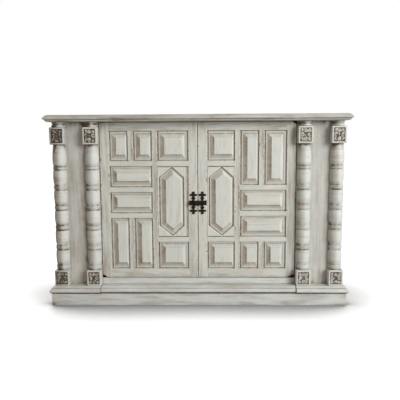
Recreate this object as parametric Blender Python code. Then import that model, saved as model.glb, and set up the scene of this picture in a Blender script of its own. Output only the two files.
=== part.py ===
"""Colonial two-door sideboard with bobbin half columns and panelled doors.

Sizes are in metres, +Z is up and the doors face -Y.
"""
import math

import bmesh
import bpy
from mathutils import Matrix, Vector

for old_object in list(bpy.data.objects):
    bpy.data.objects.remove(old_object, do_unlink=True)

# Overall sizes and the clearance left between pieces that touch
HEIGHT = 0.955
DEPTH = 0.450
FIT_GAP = 0.0003

# Top board: slab with a roll over a small ovolo along the front and both ends
TOP_THICKNESS = 0.035
TOP_OVERHANG_FRONT = 0.030
TOP_OVERHANG_SIDE = 0.0245
TOP_OVOLO_HEIGHT = 0.009
TOP_OVOLO_SETBACK = 0.0085
TOP_OVOLO_STEPS = 4
TOP_QUIRK_DEPTH = 0.003
TOP_QUIRK_RISE = 0.001
TOP_NOSE_HEIGHT = 0.0200
TOP_ROLL_UNDERCUT = 0.0085
TOP_ROLL_UNDERCUT_ANGLES = (250, 190)
TOP_ROLL_UNDERCUT_STEPS = 2
TOP_ROLL_WIDTH = 0.022
TOP_ROLL_STEPS = 6

# Base moulding and plinth
PLINTH_HEIGHT = 0.060
PLINTH_THICKNESS = 0.032
PLINTH_OVERHANG_FRONT = 0.011
PLINTH_OVERHANG_SIDE = 0.016
BASE_HEIGHT = 0.037
BASE_OVERHANG_FRONT = 0.025
BASE_CENTRE_SETBACK = 0.008
TORUS_RADIUS = 0.0125
TORUS_LIFT = 0.0025
BASE_QUIRK = 0.0015
TORUS_ANGLES = (255, 105)
TORUS_STEPS = 6

# Carcass boards
WING_THICKNESS = 0.020
SIDE_THICKNESS = 0.020
SIDE_SETBACK = 0.0035
BACK_THICKNESS = 0.010
BACK_SETBACK = 0.003
FLOOR_THICKNESS = 0.018
SHELF_THICKNESS = 0.018
SHELF_LEVEL = 0.515
SHELF_FRONT_SETBACK = 0.060
HOUSING_DEPTH = 0.006
SILL_HEIGHT = 0.0315
STOP_WIDTH = 0.860
STOP_THICKNESS = 0.020
STOP_HEIGHT = 0.030

# Half columns: carved blocks at both ends, bobbins and rings between them
BLOCK_WIDTH = 0.072
BLOCK_DEPTH = 0.045
COLUMN_SPACING = 0.162
UPPER_BLOCK_HEIGHT = 0.084
LOWER_BLOCK_HEIGHT = 0.080
BLOCK_EDGE = 0.0015
BLOCK_BORDER = 0.008
BLOCK_RECESS = 0.003
COLLAR_HEIGHT = 0.025
COLLAR_RADIUS = 0.036
COLLAR_NECK_RADIUS = 0.0315
RING_COUNT = 6
RING_HEIGHT = 0.025
RING_RADIUS = 0.0355
GROOVE_RADIUS = 0.0305
BOBBIN_RADIUS = 0.0352
BOBBIN_END_RADIUS = 0.0320
LONG_BOBBIN_EXTRA = 0.030
COLUMN_SEGMENTS = 10
RING_END_SHARE = 0.02
RING_SHOULDER_SHARE = 0.26
BOBBIN_SHARES = (0.04, 0.18, 0.5, 0.82, 0.96)
COLLAR_FOOT_SHARE = 0.03
COLLAR_RING_SHARES = (0.14, 0.38)
COLLAR_NECK_SHARES = (0.52, 0.8)
SMOOTH_LIMIT = 35
STRAIGHT_AHEAD = 0.999

# Doors: frames, lattice bars and the panels in them
DOOR_WIDTH = 0.487
DOOR_THICKNESS = 0.028
DOOR_RECESS = 0.002
DOOR_GAP = 0.003
DOOR_CLEARANCE = 0.0025
STILE_WIDTH = 0.045
TOP_RAIL_WIDTH = 0.042
BOTTOM_RAIL_WIDTH = 0.044
BAR_WIDTH = 0.025
LEFT_SQUARE_SHARE = 0.452
RIGHT_SQUARE_SHARE = 0.401
INNER_PANEL_SHARE = 0.274
TOP_ROW_HEIGHT = 0.150
BOTTOM_ROW_HEIGHT = 0.139
WIDE_HEIGHT = 0.107
TENON_LENGTH = 0.020
TENON_SHOULDER = 0.010
TENON_INSET = 0.0095
FRAME_CHAMFER = 0.002
TONGUE_DEPTH = 0.007
TONGUE_FRONT = 0.0105
TONGUE_THICKNESS = 0.006
FIELD_DROP = 0.0005
PANEL_DROP = 0.0075
PANEL_BEVEL = 0.0155
PANEL_BORDER = 0.0065
PANEL_QUIRK = 0.006
QUIRK_SLOPE = 0.001
HEXAGON_SIDE_MARGIN = 0.006
HEXAGON_END_MARGIN = 0.005
HEXAGON_SHOULDER = 0.053
HEXAGON_APEX_SHIFT = 0.004
HEXAGON_TONGUE = 0.0025
INSERT_JOINT = 0.0008
INSERT_CHAMFER = 0.0014
INSERT_BACK_SETBACK = 0.002

# Iron pivots that the doors turn on
PIVOT_INSET = 0.016
PIVOT_BEHIND_FACE = 0.008
PIN_RADIUS = 0.004
PIN_LENGTH = 0.018
BORE_CLEARANCE = 0.0004
BORE_SPARE_DEPTH = 0.002
PIVOT_COLLAR_RADIUS = 0.007
PIVOT_PLATE_LENGTH = 0.032
PIVOT_PLATE_WIDTH = 0.016
PIVOT_PLATE_THICKNESS = 0.0025
PIN_SIDES = 16

# Wrought latch on the lock stiles
LATCH_LEVEL = 0.5145
LATCH_CENTRE = 0.0225
LATCH_MEETING_GAP = 0.0006
PLATE_THICKNESS = 0.003
WING_HALF_HEIGHT = 0.0117
STEM_HALF_WIDTH = 0.0052
LOZENGE_HALF_WIDTH = 0.0102
LOZENGE_HALF_HEIGHT = 0.0078
LOZENGE_LEVEL = 0.0237
ARM_HALF_LENGTH = 0.0195
ARM_HALF_HEIGHT = 0.0052
ARM_LEVEL = 0.0402
FINIAL_RADIUS = 0.0072
FINIAL_LEVEL = 0.0510
ARM_STEPS = 5
FINIAL_STEPS = 6
STAPLE_LENGTH = 0.0169
STAPLE_DEPTH = 0.014
STAPLE_WALL = 0.003
BOLT_LENGTH = 0.0403
BOLT_THICKNESS = 0.0100
BOLT_RUN_CLEARANCE = 0.0004
BOLT_NOSE_LENGTH = 0.0145
BOLT_NOSE_REDUCTION = 0.0016
BOLT_TIP_SETBACK = 0.0016
BOLT_CORNER = 0.003
KNOB_RADIUS = 0.0052
KNOB_NECK_RADIUS = 0.0032
KNOB_NECK_LENGTH = 0.003
KNOB_FROM_TAIL = 0.0058
KNOB_END_ANGLE = 165
KNOB_STEPS = 6

# Levels and planes that follow from the sizes above
TOP_UNDERSIDE = HEIGHT - TOP_THICKNESS
BASE_TOP = PLINTH_HEIGHT + BASE_HEIGHT
SILL_TOP = BASE_TOP + SILL_HEIGHT
TOP_FRONT = -DEPTH / 2
TOP_BACK = DEPTH / 2
CARCASS_BACK = TOP_BACK - BACK_SETBACK
BLOCK_FRONT = TOP_FRONT + TOP_OVERHANG_FRONT
FACE = BLOCK_FRONT + BLOCK_DEPTH
BASE_FRONT = BLOCK_FRONT - BASE_OVERHANG_FRONT
PLINTH_FRONT = BLOCK_FRONT - PLINTH_OVERHANG_FRONT
DOOR_FRONT = FACE + DOOR_RECESS
DOOR_BACK = DOOR_FRONT + DOOR_THICKNESS
DOOR_INNER_EDGE = DOOR_GAP / 2
DOOR_OUTER_EDGE = DOOR_INNER_EDGE + DOOR_WIDTH
DOOR_BOTTOM = SILL_TOP + DOOR_CLEARANCE
DOOR_TOP = TOP_UNDERSIDE - DOOR_CLEARANCE
WING_INNER_EDGE = DOOR_OUTER_EDGE + DOOR_GAP
INNER_COLUMN_CENTRE = WING_INNER_EDGE + BLOCK_WIDTH / 2
OUTER_COLUMN_CENTRE = INNER_COLUMN_CENTRE + COLUMN_SPACING
BLOCK_OUTER_EDGE = OUTER_COLUMN_CENTRE + BLOCK_WIDTH / 2
SIDE_OUTER_FACE = BLOCK_OUTER_EDGE - SIDE_SETBACK
SIDE_INNER_FACE = SIDE_OUTER_FACE - SIDE_THICKNESS
TOP_HALF_WIDTH = BLOCK_OUTER_EDGE + TOP_OVERHANG_SIDE
PLINTH_HALF_WIDTH = BLOCK_OUTER_EDGE + PLINTH_OVERHANG_SIDE
BACK_PANEL_FRONT = CARCASS_BACK - BACK_THICKNESS
FIELD_BOTTOM = DOOR_BOTTOM + BOTTOM_RAIL_WIDTH
FIELD_TOP = DOOR_TOP - TOP_RAIL_WIDTH
FIELD_OUTER = DOOR_OUTER_EDGE - STILE_WIDTH
FIELD_INNER = DOOR_INNER_EDGE + STILE_WIDTH
PANEL_SPACE = FIELD_OUTER - FIELD_INNER - 2 * BAR_WIDTH
LEFT_SQUARE_WIDTH = LEFT_SQUARE_SHARE * PANEL_SPACE
RIGHT_SQUARE_WIDTH = RIGHT_SQUARE_SHARE * PANEL_SPACE
INNER_PANEL_WIDTH = INNER_PANEL_SHARE * PANEL_SPACE
PIVOT_X = DOOR_OUTER_EDGE - PIVOT_INSET
PIVOT_Y = DOOR_FRONT + PIVOT_BEHIND_FACE
LEFT = -1
RIGHT = 1


def make_finish(name, colour, roughness, metallic):
    """A Principled material for one kind of surface."""
    material = bpy.data.materials.new(name)
    material.use_nodes = True
    shader = material.node_tree.nodes["Principled BSDF"]
    shader.inputs["Base Color"].default_value = (*colour, 1.0)
    shader.inputs["Roughness"].default_value = roughness
    shader.inputs["Metallic"].default_value = metallic
    return material


PAINTED_WOOD = make_finish("antique_white_paint", (0.56, 0.54, 0.49), 0.62, 0.0)
INSIDE_WOOD = make_finish("bare_inside_wood", (0.36, 0.25, 0.15), 0.70, 0.0)
BLACK_IRON = make_finish("black_iron", (0.022, 0.019, 0.017), 0.55, 0.85)


def add_piece(name, mesh, finish, hinge=None):
    """Link a mesh as one named piece; a piece on a hinge keeps its origin on the hinge's axis."""
    piece = bpy.data.objects.new(name, mesh)
    bpy.context.scene.collection.objects.link(piece)
    if finish:
        mesh.materials.append(finish)
    if hinge:
        mesh.transform(Matrix.Translation(-hinge.location))
        piece.parent = hinge
    return piece


def add_cutter(name, mesh, hinge=None):
    """Link a mesh that only shapes other pieces."""
    cutter = add_piece(name, mesh, None, hinge)
    cutter.hide_render = True
    cutter.display_type = "WIRE"
    return cutter


def shape_with(piece, cutter, operation="DIFFERENCE"):
    """Cut a piece with a cutter, or join the cutter to it."""
    modifier = piece.modifiers.new(cutter.name, "BOOLEAN")
    modifier.operation = operation
    modifier.solver = "EXACT"
    modifier.object = cutter


def loft(*stacks):
    """One mesh of closed solids, each skinned over a stack of loops with equal point counts."""
    shape = bmesh.new()
    for loops in stacks:
        rows = [[shape.verts.new(point) for point in loop] for loop in loops]
        count = len(rows[0])
        new_faces = [shape.faces.new(rows[0]), shape.faces.new(rows[-1])]
        for lower, upper in zip(rows, rows[1:]):
            for i in range(count):
                j = (i + 1) % count
                new_faces.append(shape.faces.new((lower[i], lower[j], upper[j], upper[i])))
        bmesh.ops.recalc_face_normals(shape, faces=new_faces)
    mesh = bpy.data.meshes.new("solid")
    shape.to_mesh(mesh)
    shape.free()
    return mesh


def level_rectangle(x0, x1, y0, y1, z):
    """Four corners of a level rectangle."""
    return [(x0, y0, z), (x1, y0, z), (x1, y1, z), (x0, y1, z)]


def board_loops(x0, x1, y0, y1, z0, z1):
    """Two loops that a plain board is skinned over; x0 and x1 may come in either order."""
    x_low, x_high = sorted((x0, x1))
    return [level_rectangle(x_low, x_high, y0, y1, z) for z in (z0, z1)]


def board(name, finish, *sizes, hinge=None):
    """A plain board, named by its six faces."""
    return add_piece(name, loft(board_loops(*sizes)), finish, hinge)


def oval_arc(centre_a, centre_b, radius_a, radius_b, start, end, steps):
    """Points along part of an oval in a plane, angles in degrees."""
    points = []
    for i in range(steps + 1):
        angle = math.radians(start + (end - start) * i / steps)
        points.append((centre_a + radius_a * math.cos(angle), centre_b + radius_b * math.sin(angle)))
    return points


def arc(centre_a, centre_b, radius, start, end, steps):
    """Points on a circular arc in a plane, angles in degrees."""
    return oval_arc(centre_a, centre_b, radius, radius, start, end, steps)


def circle_loop(x, y, z, radius, sides):
    """A level circle of points about a vertical axis."""
    return [(a, b, z) for a, b in arc(x, y, radius, 0, 360, sides)[:-1]]


def widen(outline, distance):
    """Move each side of a convex outline outwards by a distance; the points run anticlockwise."""
    corners = [Vector(point) for point in outline]
    count = len(corners)
    moved = []
    for i in range(count):
        before = (corners[i] - corners[i - 1]).normalized()
        after = (corners[(i + 1) % count] - corners[i]).normalized()
        out_before = Vector((before.y, -before.x))
        out_after = Vector((after.y, -after.x))
        mitre = (out_before + out_after) / (1 + out_before.dot(out_after))
        moved.append(corners[i] + mitre * distance)
    return moved


def upright_loops(outline, steps):
    """Loops of an upright outline, one for each pair of widening and distance behind the door's face."""
    return [[(p.x, DOOR_FRONT + back, p.y) for p in widen(outline, grow)] for grow, back in steps]


# Top board: the edge is lofted from level rectangles, so its corners are mitred
def top_edge_profile():
    """Inset from the nose and height, from the underside up."""
    nose_level = TOP_UNDERSIDE + TOP_NOSE_HEIGHT
    quirk_level = TOP_UNDERSIDE + TOP_OVOLO_HEIGHT + TOP_QUIRK_RISE
    profile = oval_arc(TOP_OVERHANG_FRONT, TOP_UNDERSIDE + TOP_OVOLO_HEIGHT,
                       TOP_OVERHANG_FRONT - TOP_OVOLO_SETBACK, TOP_OVOLO_HEIGHT, 270, 180, TOP_OVOLO_STEPS)
    profile.append((TOP_OVOLO_SETBACK + TOP_QUIRK_DEPTH, quirk_level))
    undercut_height = nose_level - quirk_level - TOP_QUIRK_RISE
    profile += oval_arc(TOP_ROLL_UNDERCUT, nose_level, TOP_ROLL_UNDERCUT, undercut_height,
                        *TOP_ROLL_UNDERCUT_ANGLES, TOP_ROLL_UNDERCUT_STEPS)
    profile += oval_arc(TOP_ROLL_WIDTH, nose_level, TOP_ROLL_WIDTH, HEIGHT - nose_level,
                        180, 90, TOP_ROLL_STEPS)
    return profile


def make_top_board():
    loops = []
    for inset, level in top_edge_profile():
        half = TOP_HALF_WIDTH - inset
        loops.append(level_rectangle(-half, half, TOP_FRONT + inset, TOP_BACK, level))
    return add_piece("top_board", loft(loops), PAINTED_WOOD)


top_board = make_top_board()


# Plinth: four boards standing on the floor
def make_plinth():
    height = PLINTH_HEIGHT - FIT_GAP
    inner_front = PLINTH_FRONT + PLINTH_THICKNESS
    inner_back = CARCASS_BACK - PLINTH_THICKNESS
    inner_half = PLINTH_HALF_WIDTH - PLINTH_THICKNESS
    board("plinth_front", PAINTED_WOOD, -PLINTH_HALF_WIDTH, PLINTH_HALF_WIDTH,
          PLINTH_FRONT, inner_front, 0, height)
    for side, name in ((LEFT, "plinth_left"), (RIGHT, "plinth_right")):
        board(name, PAINTED_WOOD, side * inner_half, side * PLINTH_HALF_WIDTH,
              inner_front + FIT_GAP, CARCASS_BACK, 0, height)
    back_half = inner_half - FIT_GAP
    board("plinth_back", INSIDE_WOOD, -back_half, back_half, inner_back, CARCASS_BACK, 0, height)


make_plinth()


# Base moulding: half-round nose under a sloped weathering, in three lengths that all else stands on
def base_profile():
    """Inset from the nose and height, from the underside up."""
    torus_level = PLINTH_HEIGHT + TORUS_LIFT + TORUS_RADIUS
    profile = [(TORUS_RADIUS, PLINTH_HEIGHT)]
    profile.extend(arc(TORUS_RADIUS, torus_level, TORUS_RADIUS, *TORUS_ANGLES, TORUS_STEPS))
    inset, level = profile[-1]
    profile.append((inset + BASE_QUIRK, level + BASE_QUIRK))
    profile.append((BASE_OVERHANG_FRONT, BASE_TOP))
    return profile


def make_base_moulding():
    centre_front = BASE_FRONT + BASE_CENTRE_SETBACK
    end = WING_INNER_EDGE - FIT_GAP
    loops = []
    for inset, level in base_profile():
        loops.append(level_rectangle(-end, end, centre_front + inset, FACE + WING_THICKNESS, level))
    add_piece("base_moulding_centre", loft(loops), PAINTED_WOOD)
    arm_back = FACE + WING_THICKNESS
    for side, name in ((LEFT, "base_moulding_left"), (RIGHT, "base_moulding_right")):
        loops = []
        for inset, level in base_profile():
            outer = side * (TOP_HALF_WIDTH - inset)
            corner = side * WING_INNER_EDGE
            inner = side * SIDE_INNER_FACE
            loops.append([(outer, BASE_FRONT + inset, level), (corner, BASE_FRONT + inset, level),
                          (corner, arm_back, level), (inner, arm_back, level),
                          (inner, CARCASS_BACK, level), (outer, CARCASS_BACK, level)])
        add_piece(name, loft(loops), PAINTED_WOOD)


make_base_moulding()


# Carcass: wing boards, sides with housings for the floor and shelf, back, sill and door stop
def make_carcass():
    low = BASE_TOP + FIT_GAP
    high = TOP_UNDERSIDE - FIT_GAP
    floor_sizes = (SILL_TOP - FLOOR_THICKNESS, SILL_TOP)
    shelf_sizes = (SHELF_LEVEL - SHELF_THICKNESS, SHELF_LEVEL)
    shelf_front = FACE + SHELF_FRONT_SETBACK
    inside_back = BACK_PANEL_FRONT - FIT_GAP
    front = FACE + WING_THICKNESS + FIT_GAP
    housed = SIDE_INNER_FACE + HOUSING_DEPTH
    for side, word in ((LEFT, "left"), (RIGHT, "right")):
        board(word + "_wing_board", PAINTED_WOOD, side * WING_INNER_EDGE, side * SIDE_OUTER_FACE,
              FACE, FACE + WING_THICKNESS, low, high)
        panel = board(word + "_side", PAINTED_WOOD, side * SIDE_INNER_FACE, side * SIDE_OUTER_FACE,
                      front, CARCASS_BACK, low, high)
        housings = []
        for start, (bottom, top) in ((front - FIT_GAP, floor_sizes), (shelf_front, shelf_sizes)):
            housings.append(board_loops(side * (SIDE_INNER_FACE - HOUSING_DEPTH), side * housed,
                                        start - FIT_GAP, inside_back + FIT_GAP / 2,
                                        bottom - FIT_GAP, top + FIT_GAP))
        shape_with(panel, add_cutter(word + "_housings", loft(*housings)))
    half = housed - FIT_GAP
    board("cabinet_floor", INSIDE_WOOD, -half, half, front, inside_back, *floor_sizes)
    board("shelf", INSIDE_WOOD, -half, half, shelf_front, inside_back, *shelf_sizes)
    back_half = SIDE_INNER_FACE - FIT_GAP
    board("back_panel", INSIDE_WOOD, -back_half, back_half, BACK_PANEL_FRONT, CARCASS_BACK,
          PLINTH_HEIGHT, high)
    sill_half = WING_INNER_EDGE - FIT_GAP
    sill = board("door_sill", PAINTED_WOOD, -sill_half, sill_half,
                 FACE, FACE + WING_THICKNESS, low, SILL_TOP)
    stop_front = DOOR_BACK + FIT_GAP
    board("door_stop", INSIDE_WOOD, -STOP_WIDTH / 2, STOP_WIDTH / 2,
          stop_front, stop_front + STOP_THICKNESS, high - STOP_HEIGHT, high)
    return sill


door_sill = make_carcass()


# Half columns: level sections change from square at the blocks to half round on the turned shaft
def round_section(centre, radius, level):
    """Half circle that bulges to the front, flat against the wing board."""
    back = FACE - FIT_GAP
    return [(x, y, level) for x, y in arc(centre, back, radius, 180, 360, COLUMN_SEGMENTS)]


def square_section(centre, level):
    """Square section with as many points as the half round one."""
    back = FACE - FIT_GAP
    half = BLOCK_WIDTH / 2
    front_steps = COLUMN_SEGMENTS - 4
    points = [(centre - half, back, level), (centre - half, (back + BLOCK_FRONT) / 2, level)]
    for i in range(front_steps + 1):
        points.append((centre - half + BLOCK_WIDTH * i / front_steps, BLOCK_FRONT, level))
    points.append((centre + half, (back + BLOCK_FRONT) / 2, level))
    points.append((centre + half, back, level))
    return points


def shaft_profile(bottom, top):
    """Radius and height up the turned shaft: a ring and a bobbin in turn, the last bobbin longer."""
    bobbin = (top - bottom - RING_COUNT * RING_HEIGHT - LONG_BOBBIN_EXTRA) / RING_COUNT
    ring_shape = ((RING_END_SHARE, GROOVE_RADIUS), (RING_SHOULDER_SHARE, RING_RADIUS),
                  (1 - RING_SHOULDER_SHARE, RING_RADIUS), (1 - RING_END_SHARE, GROOVE_RADIUS))
    profile = []
    level = bottom
    for ring in range(RING_COUNT):
        for share, radius in ring_shape:
            profile.append((radius, level + share * RING_HEIGHT))
        level += RING_HEIGHT
        length = bobbin + (LONG_BOBBIN_EXTRA if ring == RING_COUNT - 1 else 0)
        for share in BOBBIN_SHARES:
            swell = (BOBBIN_RADIUS - BOBBIN_END_RADIUS) * math.sqrt(math.sin(math.pi * share))
            profile.append((BOBBIN_END_RADIUS + swell, level + share * length))
        level += length
    return profile


def collar_profile(bottom, top):
    """Radius and height of the ring and neck above the upper block."""
    rise = top - bottom
    shape = [(COLLAR_FOOT_SHARE, GROOVE_RADIUS)]
    shape.extend((share, COLLAR_RADIUS) for share in COLLAR_RING_SHARES)
    shape.extend((share, COLLAR_NECK_RADIUS) for share in COLLAR_NECK_SHARES)
    shape.append((1, COLLAR_RADIUS))
    return [(radius, bottom + share * rise) for share, radius in shape]


def make_column(name, centre):
    lower_bottom = BASE_TOP + FIT_GAP
    lower_top = BASE_TOP + LOWER_BLOCK_HEIGHT
    upper_top = TOP_UNDERSIDE - COLLAR_HEIGHT
    upper_bottom = upper_top - UPPER_BLOCK_HEIGHT
    loops = [square_section(centre, lower_bottom), square_section(centre, lower_top)]
    for radius, level in shaft_profile(lower_top + BLOCK_EDGE, upper_bottom - BLOCK_EDGE):
        loops.append(round_section(centre, radius, level))
    loops.append(square_section(centre, upper_bottom))
    loops.append(square_section(centre, upper_top))
    for radius, level in collar_profile(upper_top + BLOCK_EDGE, TOP_UNDERSIDE - FIT_GAP):
        loops.append(round_section(centre, radius, level))
    mesh = loft(loops)
    recess_block_fronts(mesh)
    mesh.shade_smooth()
    mesh.set_sharp_from_angle(angle=math.radians(SMOOTH_LIMIT))
    return add_piece(name, mesh, PAINTED_WOOD)


def recess_block_fronts(mesh):
    """Sink the front of both blocks inside a raised border."""
    shape = bmesh.new()
    shape.from_mesh(mesh)
    middle = HEIGHT / 2
    for above in (False, True):
        front = []
        for face in shape.faces:
            centre = face.calc_center_median()
            on_front = face.normal.y < -STRAIGHT_AHEAD and abs(centre.y - BLOCK_FRONT) < FIT_GAP
            if on_front and (centre.z > middle) == above:
                front.append(face)
        bmesh.ops.inset_region(shape, faces=front, thickness=BLOCK_BORDER, use_even_offset=True)
        bmesh.ops.inset_region(shape, faces=front, thickness=BLOCK_RECESS / 2, depth=-BLOCK_RECESS,
                               use_even_offset=True)
    shape.to_mesh(mesh)
    shape.free()


for column_name, column_centre in (("left_outer_column", -OUTER_COLUMN_CENTRE),
                                   ("left_inner_column", -INNER_COLUMN_CENTRE),
                                   ("right_inner_column", INNER_COLUMN_CENTRE),
                                   ("right_outer_column", OUTER_COLUMN_CENTRE)):
    make_column(column_name, column_centre)


# Pivots: a plate let into the sill or the top board, with a collar and a pin that the door turns on
def make_pivot(name, side, level, up, holder):
    """A pivot whose pin points up from the sill (up = 1) or down from the top board (up = -1)."""
    x = side * PIVOT_X
    half_length = PIVOT_PLATE_LENGTH / 2
    half_width = PIVOT_PLATE_WIDTH / 2

    def plate_loops(spare):
        near = level + up * spare
        far = level - up * (PIVOT_PLATE_THICKNESS + spare)
        return board_loops(x - half_length - spare, x + half_length + spare,
                           PIVOT_Y - half_width - spare, PIVOT_Y + half_width + spare, near, far)

    plate = add_piece(name, loft(plate_loops(0)), BLACK_IRON)
    inside_plate = level - up * PIVOT_PLATE_THICKNESS / 2
    collar_top = level + up * (DOOR_CLEARANCE - FIT_GAP)
    pin_top = level + up * (DOOR_CLEARANCE + PIN_LENGTH)
    loops = [circle_loop(x, PIVOT_Y, inside_plate, PIVOT_COLLAR_RADIUS, PIN_SIDES),
             circle_loop(x, PIVOT_Y, collar_top, PIVOT_COLLAR_RADIUS, PIN_SIDES),
             circle_loop(x, PIVOT_Y, collar_top, PIN_RADIUS, PIN_SIDES),
             circle_loop(x, PIVOT_Y, pin_top, PIN_RADIUS, PIN_SIDES)]
    shape_with(plate, add_cutter(name + "_pin", loft(loops)), "UNION")
    shape_with(holder, add_cutter(name + "_recess", loft(plate_loops(FIT_GAP))))


for pivot_side, pivot_word in ((LEFT, "left"), (RIGHT, "right")):
    make_pivot(pivot_word + "_lower_pivot", pivot_side, SILL_TOP, 1, door_sill)
    make_pivot(pivot_word + "_upper_pivot", pivot_side, TOP_UNDERSIDE, -1, top_board)


# Doors: the small panels are at the top of the left door and at the foot of the right one
def panel_layout(side):
    """Outlines of the openings in one door, anticlockwise, by the name of what fills them."""
    square_end = FIELD_INNER + (LEFT_SQUARE_WIDTH if side == LEFT else RIGHT_SQUARE_WIDTH)
    inner_start = square_end + BAR_WIDTH
    inner_end = inner_start + INNER_PANEL_WIDTH
    square = (FIELD_INNER, square_end)
    inner = (inner_start, inner_end)
    outer = (inner_end + BAR_WIDTH, FIELD_OUTER)
    wide = (inner_start, FIELD_OUTER)
    top_row = (FIELD_TOP - TOP_ROW_HEIGHT, FIELD_TOP)
    bottom_row = (FIELD_BOTTOM, FIELD_BOTTOM + BOTTOM_ROW_HEIGHT)
    step = WIDE_HEIGHT + BAR_WIDTH
    if side == LEFT:
        small = top_row
        lower_wide = top_row[0] - 2 * step
        tall = (FIELD_BOTTOM, lower_wide - BAR_WIDTH)
    else:
        small = bottom_row
        lower_wide = bottom_row[1] + BAR_WIDTH
        tall = (lower_wide + 2 * step, FIELD_TOP)
    upper_wide = lower_wide + step
    rows = (("small_panel_outer", outer, small), ("small_panel_inner", inner, small),
            ("square_panel_upper", square, top_row),
            ("wide_panel_upper", wide, (upper_wide, upper_wide + WIDE_HEIGHT)),
            ("wide_panel_lower", wide, (lower_wide, lower_wide + WIDE_HEIGHT)),
            ("tall_panel_outer", outer, tall), ("tall_panel_inner", inner, tall),
            ("square_panel_lower", square, bottom_row),
            ("hexagon_frame", square, (bottom_row[1] + BAR_WIDTH, top_row[0] - BAR_WIDTH)))
    openings = {}
    for name, span, (low, high) in rows:
        x_low, x_high = sorted((side * span[0], side * span[1]))
        openings[name] = [(x_low, low), (x_high, low), (x_high, high), (x_low, high)]
    return openings


def hexagon_outline(side, insert):
    """Upright hexagon, alike in both doors, that stands by the bar at the insert's outer edge."""
    half_width = RIGHT_SQUARE_WIDTH / 2 - HEXAGON_SIDE_MARGIN
    half_height = (insert[2][1] - insert[0][1]) / 2 - HEXAGON_END_MARGIN
    shoulder = half_height - HEXAGON_SHOULDER
    insert_outer = insert[0][0] if side == LEFT else insert[1][0]
    x = insert_outer - side * (HEXAGON_SIDE_MARGIN + half_width)
    z = (insert[0][1] + insert[2][1]) / 2
    apex = x + HEXAGON_APEX_SHIFT
    return [(apex, z - half_height), (x + half_width, z - shoulder), (x + half_width, z + shoulder),
            (apex, z + half_height), (x - half_width, z + shoulder), (x - half_width, z - shoulder)]


def panel_loops(outline, tongue):
    """Raised field, bevel, border, quirk and the tongue that sits in the frame's groove."""
    bevel_foot = PANEL_BORDER + PANEL_QUIRK
    tongue_edge = tongue - FIT_GAP
    return upright_loops(outline, ((-bevel_foot - PANEL_BEVEL, FIELD_DROP),
                                   (-bevel_foot, PANEL_DROP),
                                   (-PANEL_QUIRK, PANEL_DROP),
                                   (QUIRK_SLOPE - PANEL_QUIRK, TONGUE_FRONT),
                                   (tongue_edge, TONGUE_FRONT),
                                   (tongue_edge, TONGUE_FRONT + TONGUE_THICKNESS)))


def opening_loops(outline, tongue):
    """Opening in the frame for a panel: chamfered arris, straight wall and groove."""
    spare = FRAME_CHAMFER / 2
    groove_front = TONGUE_FRONT - FIT_GAP
    groove_back = TONGUE_FRONT + TONGUE_THICKNESS + FIT_GAP
    return upright_loops(outline, ((FRAME_CHAMFER + spare, -spare), (0, FRAME_CHAMFER),
                                   (0, groove_front), (tongue, groove_front),
                                   (tongue, groove_back), (0, groove_back),
                                   (0, DOOR_THICKNESS + spare)))


def tongued_plate_loops(outline, joint, chamfer, back):
    """Plate with a tongue round its edge, as the lattice and the hexagon frame have."""
    tongue_edge = TONGUE_DEPTH - FIT_GAP
    tongue_back = TONGUE_FRONT + TONGUE_THICKNESS
    return upright_loops(outline, ((-joint - chamfer, 0), (-joint, chamfer), (-joint, TONGUE_FRONT),
                                   (tongue_edge, TONGUE_FRONT), (tongue_edge, tongue_back),
                                   (-joint, tongue_back), (-joint, back)))


def tenoned_rail_loops(low, high):
    """Sections along a rail: stub tenon, shoulder, body, shoulder and tenon."""
    def section(x, bottom, top, front, back):
        return [(x, front, bottom), (x, back, bottom), (x, back, top), (x, front, top)]

    body = (low, high, DOOR_FRONT, DOOR_BACK)
    tenon = (low + TENON_SHOULDER, high - TENON_SHOULDER, DOOR_FRONT + TENON_INSET, DOOR_BACK - TENON_INSET)
    inner = FIELD_INNER + FIT_GAP
    outer = FIELD_OUTER - FIT_GAP
    inner_end = FIELD_INNER - TENON_LENGTH + FIT_GAP
    outer_end = FIELD_OUTER + TENON_LENGTH - FIT_GAP
    return [section(inner_end, *tenon), section(inner, *tenon), section(inner, *body),
            section(outer, *body), section(outer, *tenon), section(outer_end, *tenon)]


def flip_to(side, loops):
    """Loops made for the right-hand door, put on either side."""
    return [[(side * x, y, z) for x, y, z in loop] for loop in loops]


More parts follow.
